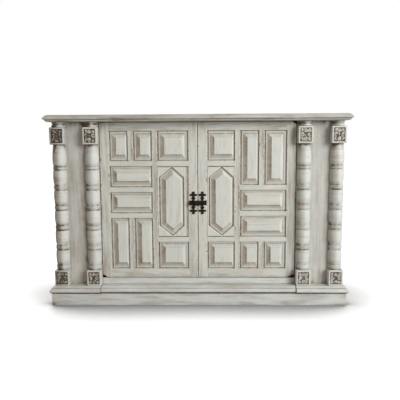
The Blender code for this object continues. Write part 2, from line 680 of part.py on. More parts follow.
def make_door(side, word):
    hinge = bpy.data.objects.new(word + "_door_hinge", None)
    bpy.context.scene.collection.objects.link(hinge)
    hinge.location = (side * PIVOT_X, PIVOT_Y, 0)
    openings = panel_layout(side)
    field = [(side * FIELD_INNER, FIELD_BOTTOM), (side * FIELD_OUTER, FIELD_BOTTOM),
             (side * FIELD_OUTER, FIELD_TOP), (side * FIELD_INNER, FIELD_TOP)]
    if side == LEFT:
        field = [field[1], field[0], field[3], field[2]]

    all_openings = [opening_loops(outline, TONGUE_DEPTH) for outline in openings.values()]
    opening_cutter = add_cutter(word + "_openings", loft(*all_openings), hinge)
    half_gap = FIT_GAP / 2
    groove = upright_loops(field, ((TONGUE_DEPTH - half_gap, TONGUE_FRONT - half_gap),
                                   (TONGUE_DEPTH - half_gap, TONGUE_FRONT + TONGUE_THICKNESS + half_gap)))
    groove_cutter = add_cutter(word + "_field_groove", loft(groove), hinge)

    rails = (("_bottom_rail", DOOR_BOTTOM, FIELD_BOTTOM), ("_top_rail", FIELD_TOP, DOOR_TOP))
    mortises = []
    for rail_word, low, high in rails:
        rail_loops = flip_to(side, tenoned_rail_loops(low, high))
        rail = add_piece(word + rail_word, loft(rail_loops), PAINTED_WOOD, hinge)
        shape_with(rail, opening_cutter)
        shape_with(rail, groove_cutter)
        mortises.append(board_loops(side * (FIELD_INNER - TENON_LENGTH), side * (FIELD_OUTER + TENON_LENGTH),
                                    DOOR_FRONT + TENON_INSET - FIT_GAP, DOOR_BACK - TENON_INSET + FIT_GAP,
                                    low + TENON_SHOULDER - FIT_GAP, high - TENON_SHOULDER + FIT_GAP))
    mortise_cutter = add_cutter(word + "_mortises", loft(*mortises), hinge)

    stiles = (("_lock_stile", DOOR_INNER_EDGE, FIELD_INNER),
              ("_hinge_stile", FIELD_OUTER, DOOR_OUTER_EDGE))
    for stile_word, inner, outer in stiles:
        stile = board(word + stile_word, PAINTED_WOOD, side * inner, side * outer, DOOR_FRONT, DOOR_BACK,
                      DOOR_BOTTOM, DOOR_TOP, hinge=hinge)
        shape_with(stile, opening_cutter)
        shape_with(stile, groove_cutter)
        shape_with(stile, mortise_cutter)
    bore_radius = PIN_RADIUS + BORE_CLEARANCE
    bore_depth = PIN_LENGTH + BORE_SPARE_DEPTH
    bores = []
    for end, into in ((DOOR_BOTTOM, 1), (DOOR_TOP, -1)):
        bores.append([circle_loop(side * PIVOT_X, PIVOT_Y, end + into * reach, bore_radius, PIN_SIDES)
                      for reach in (-BORE_SPARE_DEPTH, bore_depth)])
    shape_with(stile, add_cutter(word + "_pivot_bores", loft(*bores), hinge))

    lattice_loops = tongued_plate_loops(field, FIT_GAP, 0.0, DOOR_THICKNESS)[1:]
    lattice = add_piece(word + "_lattice", loft(lattice_loops), PAINTED_WOOD, hinge)
    shape_with(lattice, opening_cutter)

    insert = openings.pop("hexagon_frame")
    insert_back = DOOR_THICKNESS - INSERT_BACK_SETBACK
    frame_loops = tongued_plate_loops(insert, INSERT_JOINT, INSERT_CHAMFER, insert_back)
    hexagon_frame = add_piece(word + "_hexagon_frame", loft(frame_loops), PAINTED_WOOD, hinge)
    hexagon = hexagon_outline(side, insert)
    hexagon_loops = opening_loops(hexagon, HEXAGON_TONGUE)
    shape_with(hexagon_frame, add_cutter(word + "_hexagon", loft(hexagon_loops), hinge))
    add_piece(word + "_hexagon_panel", loft(panel_loops(hexagon, HEXAGON_TONGUE)), PAINTED_WOOD, hinge)
    for name, outline in openings.items():
        add_piece(word + "_" + name, loft(panel_loops(outline, TONGUE_DEPTH)), PAINTED_WOOD, hinge)
    return hinge


left_hinge = make_door(LEFT, "left")
right_hinge = make_door(RIGHT, "right")


# Latch: two wrought plates with finials, a staple on each and the bolt that slides through them
def plate_outline():
    """Outline of a latch plate about its middle, anticlockwise, made of one quarter turned over."""
    wing = LATCH_CENTRE - LATCH_MEETING_GAP
    stem = STEM_HALF_WIDTH
    arm_middle = ARM_HALF_LENGTH - ARM_HALF_HEIGHT
    quarter = [(wing, WING_HALF_HEIGHT), (stem, WING_HALF_HEIGHT),
               (stem, LOZENGE_LEVEL - LOZENGE_HALF_HEIGHT), (LOZENGE_HALF_WIDTH, LOZENGE_LEVEL),
               (stem, LOZENGE_LEVEL + LOZENGE_HALF_HEIGHT), (stem, ARM_LEVEL - ARM_HALF_HEIGHT)]
    quarter.extend(arc(arm_middle, ARM_LEVEL, ARM_HALF_HEIGHT, -90, 90, ARM_STEPS))
    quarter.append((stem, ARM_LEVEL + ARM_HALF_HEIGHT))
    neck_angle = math.degrees(math.acos(stem / FINIAL_RADIUS))
    quarter.extend(arc(0, FINIAL_LEVEL, FINIAL_RADIUS, -neck_angle, 90, FINIAL_STEPS))
    upper = quarter + [(-x, z) for x, z in reversed(quarter[:-1])]
    return upper + [(-x, -z) for x, z in upper]


def make_latch_plate(name, side, hinge):
    front = DOOR_FRONT - FIT_GAP - PLATE_THICKNESS
    back = DOOR_FRONT - FIT_GAP
    outline = plate_outline()
    loops = [[(side * LATCH_CENTRE + x, y, LATCH_LEVEL + z) for x, z in outline] for y in (front, back)]
    return add_piece(name, loft(loops), BLACK_IRON, hinge)


STAPLE_BACK = DOOR_FRONT - PLATE_THICKNESS - 2 * FIT_GAP
STAPLE_INSIDE = STAPLE_BACK - STAPLE_DEPTH + STAPLE_WALL


def make_staple(name, side, hinge):
    """Strap bent to a U, open towards the plate, that the bolt runs through."""
    outer = WING_HALF_HEIGHT
    inner = outer - STAPLE_WALL
    front = STAPLE_BACK - STAPLE_DEPTH
    section = ((STAPLE_BACK, outer), (front, outer), (front, -outer), (STAPLE_BACK, -outer),
               (STAPLE_BACK, -inner), (STAPLE_INSIDE, -inner), (STAPLE_INSIDE, inner), (STAPLE_BACK, inner))
    ends = (side * LATCH_MEETING_GAP, side * (LATCH_MEETING_GAP + STAPLE_LENGTH))
    loops = [[(x, y, LATCH_LEVEL + z) for y, z in section] for x in ends]
    return add_piece(name, loft(loops), BLACK_IRON, hinge)


def bolt_section(x, reduction):
    """Eight-sided section of the bolt, smaller all round on its nose."""
    height = WING_HALF_HEIGHT - STAPLE_WALL - BOLT_RUN_CLEARANCE - reduction
    back = STAPLE_BACK - BOLT_RUN_CLEARANCE - reduction
    front = STAPLE_BACK - BOLT_RUN_CLEARANCE - BOLT_THICKNESS + reduction
    corner = BOLT_CORNER - reduction / 2
    points = ((back, -height + corner), (back, height - corner),
              (back - corner, height), (front + corner, height),
              (front, height - corner), (front, -height + corner),
              (front + corner, -height), (back - corner, -height))
    return [(x, y, LATCH_LEVEL + z) for y, z in points]


def make_bolt(hinge):
    tip = -LATCH_MEETING_GAP - BOLT_TIP_SETBACK
    shoulder = tip - BOLT_NOSE_LENGTH
    tail = tip - BOLT_LENGTH
    loops = [bolt_section(tail, 0), bolt_section(shoulder - BOLT_NOSE_REDUCTION, 0),
             bolt_section(shoulder, BOLT_NOSE_REDUCTION), bolt_section(tip, BOLT_NOSE_REDUCTION)]
    slide = bpy.data.objects.new("bolt_slide", None)
    bpy.context.scene.collection.objects.link(slide)
    slide.location = Vector((tip, STAPLE_BACK, LATCH_LEVEL)) - hinge.location
    slide.parent = hinge
    bolt_mesh = loft(loops)
    bolt_mesh.transform(Matrix.Translation(-hinge.location))
    bolt = add_piece("latch_bolt", bolt_mesh, BLACK_IRON, slide)
    knob_x = tail + KNOB_FROM_TAIL
    bolt_front = STAPLE_BACK - BOLT_RUN_CLEARANCE - BOLT_THICKNESS
    neck_angle = math.asin(KNOB_NECK_RADIUS / KNOB_RADIUS)
    ball_middle = bolt_front - KNOB_NECK_LENGTH - KNOB_RADIUS * math.cos(neck_angle)
    profile = [(KNOB_NECK_RADIUS, bolt_front + BOLT_THICKNESS / 2)]
    for out, radius in arc(0, 0, KNOB_RADIUS, math.degrees(neck_angle), KNOB_END_ANGLE, KNOB_STEPS):
        profile.append((radius, ball_middle + out))
    knob = []
    for radius, y in profile:
        knob.append([(a, y, b) for a, b in arc(knob_x, LATCH_LEVEL, radius, 0, 360, PIN_SIDES)[:-1]])
    knob_mesh = loft(knob)
    knob_mesh.transform(Matrix.Translation(-hinge.location))
    shape_with(bolt, add_cutter("bolt_knob", knob_mesh, slide), "UNION")


make_latch_plate("left_latch_plate", LEFT, left_hinge)
make_latch_plate("right_latch_plate", RIGHT, right_hinge)
make_staple("bolt_guide", LEFT, left_hinge)
make_staple("bolt_keeper", RIGHT, right_hinge)
make_bolt(left_hinge)
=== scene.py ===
"""Looks of the colonial sideboard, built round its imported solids. Sizes are in metres."""
import math

import bmesh
import bpy
from mathutils import Matrix, Vector, noise


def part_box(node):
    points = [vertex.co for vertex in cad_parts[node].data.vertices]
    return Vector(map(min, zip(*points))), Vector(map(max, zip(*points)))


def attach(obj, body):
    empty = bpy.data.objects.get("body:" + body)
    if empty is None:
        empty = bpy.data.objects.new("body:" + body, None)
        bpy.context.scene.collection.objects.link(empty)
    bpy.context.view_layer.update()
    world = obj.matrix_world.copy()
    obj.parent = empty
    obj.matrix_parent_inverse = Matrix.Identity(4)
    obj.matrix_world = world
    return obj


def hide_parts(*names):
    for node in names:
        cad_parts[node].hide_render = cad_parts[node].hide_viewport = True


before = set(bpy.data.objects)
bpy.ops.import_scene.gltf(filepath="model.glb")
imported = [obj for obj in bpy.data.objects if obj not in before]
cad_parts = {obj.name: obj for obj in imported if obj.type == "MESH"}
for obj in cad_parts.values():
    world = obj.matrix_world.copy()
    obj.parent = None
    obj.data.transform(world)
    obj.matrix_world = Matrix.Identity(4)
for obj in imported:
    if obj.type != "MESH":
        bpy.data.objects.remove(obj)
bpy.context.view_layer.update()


# Plinth: four plain boards on edge that carry the whole sideboard; the one at the back is left bare.
# Like all the outside, the others have antique white paint, brushed along the grain,
# and a brown glaze that was wiped off again and stays in grain and corners. The same brown also paints shade
# away from the lamp and under overhangs.
class Wire:
    """One output of a material's nodes; arithmetic on it adds Math nodes."""

    def __init__(self, socket):
        self.socket = socket

    def node(self, kind, inputs, output=0, **settings):
        tree = self.socket.id_data
        made = tree.nodes.new("ShaderNode" + kind)
        for name, value in settings.items():
            setattr(made, name, value)
        for key, value in inputs.items():
            if isinstance(value, Wire):
                tree.links.new(value.socket, made.inputs[key])
            else:
                made.inputs[key].default_value = value
        return Wire(made.outputs[output])

    def __add__(self, other):
        return self.node("Math", {0: self, 1: other}, operation="ADD")

    def __sub__(self, other):
        return self.node("Math", {0: self, 1: other}, operation="SUBTRACT")

    def __rsub__(self, other):
        return self.node("Math", {0: other, 1: self}, operation="SUBTRACT")

    def __mul__(self, other):
        return self.node("Math", {0: self, 1: other}, operation="MULTIPLY")

    __radd__ = __add__
    __rmul__ = __mul__


def new_finish(name):
    """A material with its shader and the place on the object as a wire."""
    material = bpy.data.materials.new(name)
    material.use_nodes = True
    tree = material.node_tree
    place = Wire(tree.nodes.new("ShaderNodeTexCoord").outputs["Object"])
    return material, tree.nodes["Principled BSDF"], place


def plug(shader, **wires):
    for name, wire in wires.items():
        shader.id_data.links.new(wire.socket, shader.inputs[name.replace("_", " ")])


def marked(place, name):
    """The number that the mesh carries under a name."""
    return place.node("Attribute", {}, "Fac", attribute_name=name)


def own_grain(place, steps):
    """The place moved by the board's number, so that each board shows a grain of its own."""
    board = marked(place, "board")
    shift = board.node("CombineXYZ", {axis: board * step for axis, step in zip("XYZ", steps)})
    return place.node("VectorMath", {0: place, 1: shift}, operation="ADD")


def drawn_out(place, along, share):
    """The place squeezed along the grain, so that a pattern is drawn out that way."""
    stretch = tuple(share if axis in along else 1.0 for axis in "xyz")
    return place.node("Mapping", {"Vector": place, "Scale": stretch})


def cloud(place, scale, detail=3.0, roughness=0.55):
    return place.node("TexNoise", {"Vector": place, "Scale": scale, "Detail": detail, "Roughness": roughness})


def ramp(value, low, high):
    """0 below low, 1 above high, smooth between them."""
    return value.node("MapRange", {"Value": value, "From Min": low, "From Max": high},
                      interpolation_type="SMOOTHSTEP")


def tint(mask, colour, other):
    """One colour, with the other laid over it where the mask is 1."""
    colours = [c if isinstance(c, Wire) else (*c, 1.0) for c in (colour, other)]
    return mask.node("Mix", {0: mask, 6: colours[0], 7: colours[1]}, 2, data_type="RGBA")


def bumps(height, strength, distance):
    return height.node("Bump", {"Height": height, "Strength": strength, "Distance": distance}, "Normal")


CHALK_WHITE = ((0.553, 0.573, 0.546), (0.590, 0.592, 0.553))
DULL_STREAK = (0.385, 0.355, 0.290)
GRAIN_LINE = (0.290, 0.245, 0.180)
BROWN_WASH_AND_SHADE = (0.224, 0.165, 0.104)
DARK_GLAZE_AND_SHADE = (0.062, 0.044, 0.027)
BLACK_GLAZE_AND_SHADE = (0.016, 0.012, 0.008)
RUBBED_WHITE = (0.690, 0.680, 0.620)
BARE_WOOD = (0.260, 0.190, 0.125)


def distressed_paint(name, along, tones):
    """Antique white paint in two tones, with grain and brush marks along one axis, or two on a turning, under
    brown glaze and painted shade.
    """
    material, shader, place = new_finish(name)
    glaze_and_shade = marked(place, "glaze_and_shade")
    worn = marked(place, "worn")
    place = own_grain(place, (3.1, 5.3, 4.7))
    drawn = drawn_out(place, along, 0.05)
    fibre = cloud(drawn, scale=420, roughness=0.6)
    streak = cloud(drawn, scale=130, detail=4.0, roughness=0.62)
    smear = cloud(drawn_out(place, along, 0.25), scale=22)
    patch = cloud(place, scale=75, roughness=0.6)
    broken = cloud(place, scale=32, roughness=0.6) - 0.5
    dry_brush = ramp(smear, 0.42, 0.62)
    paint = tint(ramp(cloud(place, scale=9.0), 0.36, 0.64), *tones)
    paint = tint(ramp(streak, 0.48, 0.74) * 0.45, paint, DULL_STREAK)
    paint = tint(ramp(fibre, 0.54, 0.70) * dry_brush * 0.55, paint, GRAIN_LINE)
    # The glaze_and_shade mark lays on the brown wash and the darker glazes, which also paint shade.
    wash_and_shade = glaze_and_shade * (streak * 1.1 + 0.42 + dry_brush * 0.15 + broken * 0.9)
    wash_and_shade = wash_and_shade.node("Clamp", {"Value": wash_and_shade})
    paint = tint(wash_and_shade, paint, BROWN_WASH_AND_SHADE)
    paint = tint(ramp(glaze_and_shade + broken * 0.8, 0.66, 1.05) * 0.88, paint, DARK_GLAZE_AND_SHADE)
    paint = tint(ramp(glaze_and_shade, 1.05, 1.5) * 0.9, paint, BLACK_GLAZE_AND_SHADE)
    rubbed = worn * ramp(broken + patch * 0.3, 0.05, 0.25)
    paint = tint(rubbed * 0.7, paint, RUBBED_WHITE)
    bare = worn * ramp(broken + patch * 0.4 + streak * 0.3, 0.46, 0.54)
    paint = tint(bare, paint, BARE_WOOD)
    plug(shader, Base_Color=paint, Roughness=streak * 0.25 + 0.46)
    plug(shader, Normal=bumps(fibre * 0.45 + streak * 0.55, strength=0.4, distance=0.0012))
    return material


PAINT = {"x": distressed_paint("paint_grain_level", "x", CHALK_WHITE),
         "y": distressed_paint("paint_grain_deep", "y", CHALK_WHITE),
         "z": distressed_paint("paint_grain_upright", "z", CHALK_WHITE),
         "xy": distressed_paint("paint_on_turning", "xy", CHALK_WHITE)}


def start_edit(piece, faces="SELECT"):
    """Edit mode on one piece, with all its faces selected or none."""
    bpy.ops.object.select_all(action="DESELECT")
    bpy.context.view_layer.objects.active = piece
    piece.select_set(True)
    bpy.ops.object.mode_set(mode="EDIT")
    bpy.ops.mesh.select_mode(type="FACE")
    bpy.ops.mesh.select_all(action=faces)


def end_edit():
    bpy.ops.object.mode_set(mode="OBJECT")


def mark_faces(piece, name, value_of):
    """A number on each face, worked out from the face."""
    mark = piece.data.attributes.get(name) or piece.data.attributes.new(name, "FLOAT", "FACE")
    mark.data.foreach_set("value", [value_of(face) for face in piece.data.polygons])


def mark_points(piece, name, value_of):
    """A number on each vertex, worked out from its place."""
    mark = piece.data.attributes.get(name) or piece.data.attributes.new(name, "FLOAT", "POINT")
    mark.data.foreach_set("value", [value_of(vertex.co) for vertex in piece.data.vertices])


def slanted(face):
    """1 on the faces of a worn arris, which look along no axis."""
    return float(max(abs(n) for n in face.normal) < 0.97)


GOLDEN_STEP = 0.618
boards_made = []


def place_in_timber(count):
    """A number from 0 to 1 that differs from board to board."""
    return count * GOLDEN_STEP % 1.0


def number_board(piece):
    """Each board is cut from another place in the timber, so its grain starts elsewhere."""
    boards_made.append(piece)
    seed = place_in_timber(len(boards_made))
    mark_faces(piece, "board", lambda face: seed)


def squared_blank(low, high):
    """The squared blank between two corners that a bar, board or block is made from."""
    bpy.ops.object.select_all(action="DESELECT")
    low, high = Vector(low), Vector(high)
    bpy.ops.mesh.primitive_cube_add(size=1, location=(low + high) / 2, scale=high - low)
    bpy.ops.object.transform_apply(location=True, rotation=True, scale=True)
    return bpy.context.object


def wooden_bar(name, low, high, material, arris=0.0012):
    """A planed bar or board with its arrises rubbed off."""
    piece = squared_blank(low, high)
    piece.name = name
    start_edit(piece)
    bpy.ops.mesh.bevel(offset=arris, segments=2, affect="EDGES")
    end_edit()
    mark_faces(piece, "worn", slanted)
    number_board(piece)
    piece.data.materials.append(material)
    return piece


def fit(piece, body, node):
    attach(piece, body)
    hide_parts(node)


def smudge(point, along, seed):
    """Uneven wiping, from 0 to about 1, drawn out along the grain."""
    scale = Vector(tuple(7 if axis in along else 38 for axis in "xyz"))
    start = Vector((seed * 40, seed * 90, 0))
    return max(0.0, noise.fractal(point * scale + start, 0.9, 2.1, 3) + 0.25)


def divide_face(piece, outwards, cuts):
    """A fine grid on the flat face that looks outwards, to carry the glaze."""
    start_edit(piece, faces="DESELECT")
    for flat in bmesh.from_edit_mesh(piece.data).faces:
        flat.select = flat.normal.dot(Vector(outwards)) > 0.99
    bmesh.update_edit_mesh(piece.data)
    bpy.ops.mesh.subdivide(number_cuts=cuts)
    end_edit()


FRONT, LEFT, RIGHT = (0, -1, 0), (-1, 0, 0), (1, 0, 0)


def weather_and_shade(piece, along, edges, base, fade, uneven, outwards=FRONT, cuts=36, rubbed=0.0):
    """Glaze left on a board's face, with painted shade on some edges: smudges all over, and more along the
    left, right, foot and head.
    Both upright edges can be rubbed light over a given width."""
    divide_face(piece, outwards, cuts)
    level = 0 if outwards == FRONT else 1
    reach = [vertex.co[level] for vertex in piece.data.vertices]
    heights = [vertex.co.z for vertex in piece.data.vertices]
    start, stop, foot, head = min(reach), max(reach), min(heights), max(heights)
    seed = place_in_timber(len(boards_made))

    def glaze_and_shade(point):
        inwards = (point[level] - start, stop - point[level], point.z - foot, head - point.z)
        near = sum(strength * math.exp(-distance / fade) for strength, distance in zip(edges, inwards))
        wiped = smudge(point, along, seed)
        return min(1.0, base + uneven * wiped + near * (0.55 + 0.9 * wiped))

    def wear(face):
        on_edge = min(face.center.x - start, stop - face.center.x) < rubbed
        return max(slanted(face), float(on_edge))

    mark_points(piece, "glaze_and_shade", glaze_and_shade)
    if rubbed:
        mark_faces(piece, "worn", wear)


PLINTH_BOARDS = {"plinth_front": ("x", FRONT), "plinth_left": ("y", LEFT), "plinth_right": ("y", RIGHT)}
PLINTH_GLAZE = (0.3, 0.15, 0.35, 0.10)
for node, (along, outwards) in PLINTH_BOARDS.items():
    plinth = wooden_bar(node + "_painted", *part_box(node), PAINT[along], arris=0.002)
    weather_and_shade(plinth, along, PLINTH_GLAZE, 0.03, fade=0.008, uneven=0.40, outwards=outwards, cuts=60)
    fit(plinth, "carcass", node)


# Inside boards: bare pine with a thin stain, planed but not painted.
# The back is six boards with V-joints. Floor and shelf are housed in the sides,
# and the doors shut against the stop under the top.
PALE_PINE = (0.400, 0.275, 0.160)
DARK_PINE = (0.290, 0.185, 0.100)
PINE_PORE = (0.190, 0.115, 0.060)


def bare_pine(name, along):
    """Stained pine with year rings and pores along one axis."""
    material, shader, place = new_finish(name)
    drawn = drawn_out(own_grain(place, (2.3, 4.1, 3.7)), along, 0.06)
    rings = cloud(drawn, scale=34, detail=4.0, roughness=0.5)
    pores = cloud(drawn, scale=480, detail=2.0, roughness=0.6)
    tone = tint(ramp(rings, 0.40, 0.62), PALE_PINE, DARK_PINE)
    tone = tint(ramp(pores, 0.52, 0.72) * 0.5, tone, PINE_PORE)
    plug(shader, Base_Color=tone, Roughness=rings * 0.2 + 0.55)
    plug(shader, Normal=bumps(rings * 0.3 + pores * 0.7, strength=0.3, distance=0.0008))
    return material


def cut_across(piece, places):
    """Edges right round a piece at places along it."""
    start_edit(piece)
    for x in places:
        bpy.ops.mesh.select_all(action="SELECT")
        bpy.ops.mesh.bisect(plane_co=(x, 0, 0), plane_no=(1, 0, 0))
    end_edit()


def part_boards(panel, count, joint_width, joint_depth):
    """V-joints where boards meet on both faces, and a grain of its own for each board."""
    across = [vertex.co.x for vertex in panel.data.vertices]
    deep = [vertex.co.y for vertex in panel.data.vertices]
    start, middle = min(across), (min(deep) + max(deep)) / 2
    width = (max(across) - start) / count
    joints = [start + width * i for i in range(1, count)]
    cut_across(panel, [joint + step * joint_width / 2 for joint in joints for step in (-1, 0, 1)])
    for vertex in panel.data.vertices:
        if min(abs(vertex.co.x - joint) for joint in joints) < joint_width / 8:
            vertex.co.y += joint_depth if vertex.co.y < middle else -joint_depth
    mark_faces(panel, "board", lambda face: place_in_timber(int((face.center.x - start) / width)))


PINE = {"x": bare_pine("pine_grain_level", "x"), "z": bare_pine("pine_grain_upright", "z")}
INSIDE_BOARDS = {"plinth_back": "x", "cabinet_floor": "x", "shelf": "x", "door_stop": "x", "back_panel": "z"}
for node, along in INSIDE_BOARDS.items():
    pine_board = wooden_bar(node + "_bare", *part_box(node), PINE[along], arris=0.001)
    if node == "back_panel":
        part_boards(pine_board, count=6, joint_width=0.005, joint_depth=0.0018)
    fit(pine_board, "carcass", node)


# Base moulding: a half-round nose under a sloped top, run with a plane in three lengths.
# The centre length stands a little behind the two wings. Glaze stays in its groove, and the underside of the
# nose is painted dark as shade.
def copied(node, name, material, smooth=0.0):
    """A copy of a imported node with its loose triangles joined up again."""
    bpy.ops.object.select_all(action="DESELECT")
    piece = bpy.data.objects.new(name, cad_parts[node].data.copy())
    bpy.context.scene.collection.objects.link(piece)
    piece.data.materials.clear()
    piece.data.materials.append(material)
    start_edit(piece)
    bpy.ops.mesh.remove_doubles(threshold=0.00002)
    bpy.ops.mesh.dissolve_limited(angle_limit=math.radians(1))
    end_edit()
    if smooth:
        bpy.ops.object.shade_smooth_by_angle(angle=math.radians(smooth))
    number_board(piece)
    return piece


def mark_corners(piece, name, value_of):
    """A number on each corner of each face, worked out from the face and the corner's place."""
    mark = piece.data.attributes.new(name, "FLOAT", "CORNER")
    values = []
    for face in piece.data.polygons:
        values.extend(value_of(face, piece.data.vertices[i].co) for i in face.vertices)
    mark.data.foreach_set("value", values)


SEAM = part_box("base_moulding_centre")[1].x
SEAM_STEPS = (-0.0060, -0.0035, -0.0015, 0.0015, 0.0035, 0.0060)
SEAM_WIDTH = 0.0022
GROOVE_LEVELS = (0.087, 0.0895)
MOULDING_CUTS = 30


def moulding_glaze_and_shade(face, point):
    """Dark in the groove above the nose and in the joints between the three lengths, and painted shade under
    the nose.
    """
    in_groove = GROOVE_LEVELS[0] < face.center.z < GROOVE_LEVELS[1] and face.normal.z > 0.3
    under_nose = face.normal.z < -0.5
    in_joint = 0.85 * math.exp(-((abs(point.x) - SEAM) / SEAM_WIDTH) ** 2)
    return max(0.9 if in_groove or under_nose else 0.06 + 0.30 * smudge(point, "x", 0.21), in_joint)


for node in ("base_moulding_centre", "base_moulding_left", "base_moulding_right"):
    moulding = copied(node, node + "_painted", PAINT["x"], smooth=40)
    low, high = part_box(node)
    cuts = [low.x + (high.x - low.x) * i / MOULDING_CUTS for i in range(1, MOULDING_CUTS)]
    cuts.extend(side * (SEAM + step) for side in (-1, 1) for step in SEAM_STEPS)
    cut_across(moulding, cuts)
    mark_corners(moulding, "glaze_and_shade", moulding_glaze_and_shade)
    fit(moulding, "carcass", node)


# Carcass: side boards, the sill under the doors, and wing boards that the half columns stand against.
# The sill is cut out for the iron plates of the lower pivots.
# Dirt and glaze gather on the wing boards along both sides of the columns, and painted shade lies there too,
# broad on the side of each column away from the lamp.
def combine(piece, other, operation):
    """Join another shape to a piece or cut it out of the piece; the other shape is used up."""
    change = piece.modifiers.new(other.name, "BOOLEAN")
    change.operation = operation
    change.solver = "EXACT"
    change.object = other
    bpy.ops.object.select_all(action="DESELECT")
    bpy.context.view_layer.objects.active = piece
    piece.select_set(True)
    bpy.ops.object.modifier_apply(modifier=change.name)
    bpy.data.objects.remove(other)


PLATE_CLEARANCE = Vector((0.0003, 0.0003, 0.0003))


def let_in(plank, pivot):
    """The recess in the top of a board for the plate of an iron pivot."""
    low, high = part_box(pivot)
    surface = max(vertex.co.z for vertex in plank.data.vertices)
    above = Vector((high.x, high.y, 2 * surface - low.z))
    combine(plank, squared_blank(low - PLATE_CLEARANCE, above + PLATE_CLEARANCE), "DIFFERENCE")


CARCASS_BOARDS = {"left_side": ("z", LEFT, (0.35, 0.40, 0.25, 0.30), 0.010),
                  "right_side": ("z", RIGHT, (0.35, 0.40, 0.25, 0.30), 0.010),
                  "door_sill": ("x", FRONT, (0.20, 0.60, 0.50, 0.80), 0.0022)}
for node, (along, outwards, edges, fade) in CARCASS_BOARDS.items():
    carcass_board = wooden_bar(node + "_painted", *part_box(node), PAINT[along], arris=0.0015)
    if node == "door_sill":
        let_in(carcass_board, "left_lower_pivot")
        let_in(carcass_board, "right_lower_pivot")
    weather_and_shade(carcass_board, along, edges, 0.0, fade, uneven=0.26, outwards=outwards, cuts=48)
    fit(carcass_board, "carcass", node)

COLUMN_AXES = {}
for node in ("left_outer_column", "left_inner_column", "right_inner_column", "right_outer_column"):
    COLUMN_AXES[node] = (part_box(node)[0].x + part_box(node)[1].x) / 2
COLUMN_EDGE = 0.034
# Strength and fade of the glaze and painted shade on each side of a column, and of the glaze in the corners
# at both ends.
LIT_SIDE = (0.45, 0.004)
SHADED_SIDE_LEFT = (0.78, 0.036)
SHADED_SIDE_RIGHT = (0.50, 0.040)
WING_FOOT, WING_HEAD = 0.097, 0.920
CORNER_GLAZE = (0.45, 0.014)


def beside_column(point):
    """Broad brown glaze and painted shade on the shaded side of each column, a thin line of painted shade on
    its other side, smudges between.
    """
    on_left = point.x < 0
    wiped = smudge(point, "z", 0.37)
    glaze_and_shade = 0.29 if on_left else 0.30
    for axis in COLUMN_AXES.values():
        shaded_side = SHADED_SIDE_LEFT if axis < 0 else SHADED_SIDE_RIGHT
        strength, fade = LIT_SIDE if point.x > axis else shaded_side
        reach = max(0.0, abs(point.x - axis) - COLUMN_EDGE)
        glaze_and_shade = max(glaze_and_shade, strength * math.exp(-reach / fade))
    to_end = max(0.0, min(point.z - WING_FOOT, WING_HEAD - point.z))
    in_corner = CORNER_GLAZE[0] * math.exp(-to_end / CORNER_GLAZE[1]) * (0.5 + wiped)
    return min(1.0, glaze_and_shade + (0.25 if on_left else 0.14) * wiped + in_corner)


for node in ("left_wing_board", "right_wing_board"):
    wing = wooden_bar(node + "_painted", *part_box(node), PAINT["z"], arris=0.0015)
    divide_face(wing, FRONT, cuts=44)
    mark_points(wing, "glaze_and_shade", beside_column)
    fit(wing, "carcass", node)


# Half columns: each is turned from one billet that was split down the middle.
# Square blocks at both ends carry a cut rosette; rings and bobbins lie between them.
BLOCK_HALF = 0.036
BLOCK_FRONT = -0.195
COLUMN_BACK = -0.1503
BLOCK_DEPTH = COLUMN_BACK - BLOCK_FRONT
LOWER_BLOCK = (0.0973, 0.177)
UPPER_BLOCK = (0.811, 0.895)
COLLAR_TOP = 0.9197
# The turnings run this far into the blocks, and their flat backs lie this far in from the blocks'.
OVERLAP = 0.002
SET_IN = 0.0002
SHAFT = (LOWER_BLOCK[1] - OVERLAP, UPPER_BLOCK[0] + OVERLAP)
RING_COUNT = 6
RING = 0.025
THINNER_TOP_RING = 0.0085
LONGER_VASE = 0.030
BOBBIN = (SHAFT[1] - SHAFT[0] - LONGER_VASE) / RING_COUNT - RING
QUIRK_UNDER_RING, RING_QUIRKS, QUIRK_OVER_BOBBIN = 0.0020, 0.0030, 0.0016
RING_STEPS, BOBBIN_STEPS = 8, 24
# Radii of the turnings, what swells and tapers change in them, and the share of a bobbin at its widest.
CORE = 0.0305
QUIRK = 0.0300
RING_FOOT, RING_SWELL, RING_FLARE = 0.0304, 0.0034, 0.0012
BOBBIN_FOOT, BOBBIN_SWELL = 0.0316, 0.0041
BOBBIN_TAPER, VASE_TAPER = 0.0017, 0.0064
BOBBIN_WIDEST, VASE_WIDEST = 0.58, 0.34
COLLAR_RING_FOOT, COLLAR_RING_SWELL = 0.0320, 0.0040
COLLAR_NECK = ((0.0310, 0.0135), (0.0312, 0.0175), (0.0325, 0.0215))
COLLAR_CAP = 0.0350


def ring_outline(low, height, foot, swell, flare, steps):
    """Radius and height of a turned ring, which may be a little wider at its head."""
    outline = []
    for step in range(steps + 1):
        turn = math.pi * step / steps
        radius = foot + flare * step / steps + swell * math.sin(turn) ** 0.7
        outline.append((radius, low + height * (1 - math.cos(turn)) / 2))
    return outline


def bobbin_radius(share, last):
    """Radius at a share of a bobbin's length; the last one is a vase, widest lower down."""
    widest = VASE_WIDEST if last else BOBBIN_WIDEST
    if share < widest:
        return BOBBIN_FOOT + BOBBIN_SWELL * math.sin(math.pi / 2 * share / widest) ** 0.9
    taper = VASE_TAPER if last else BOBBIN_TAPER
    return BOBBIN_FOOT + BOBBIN_SWELL - taper * ((share - widest) / (1 - widest)) ** 1.8


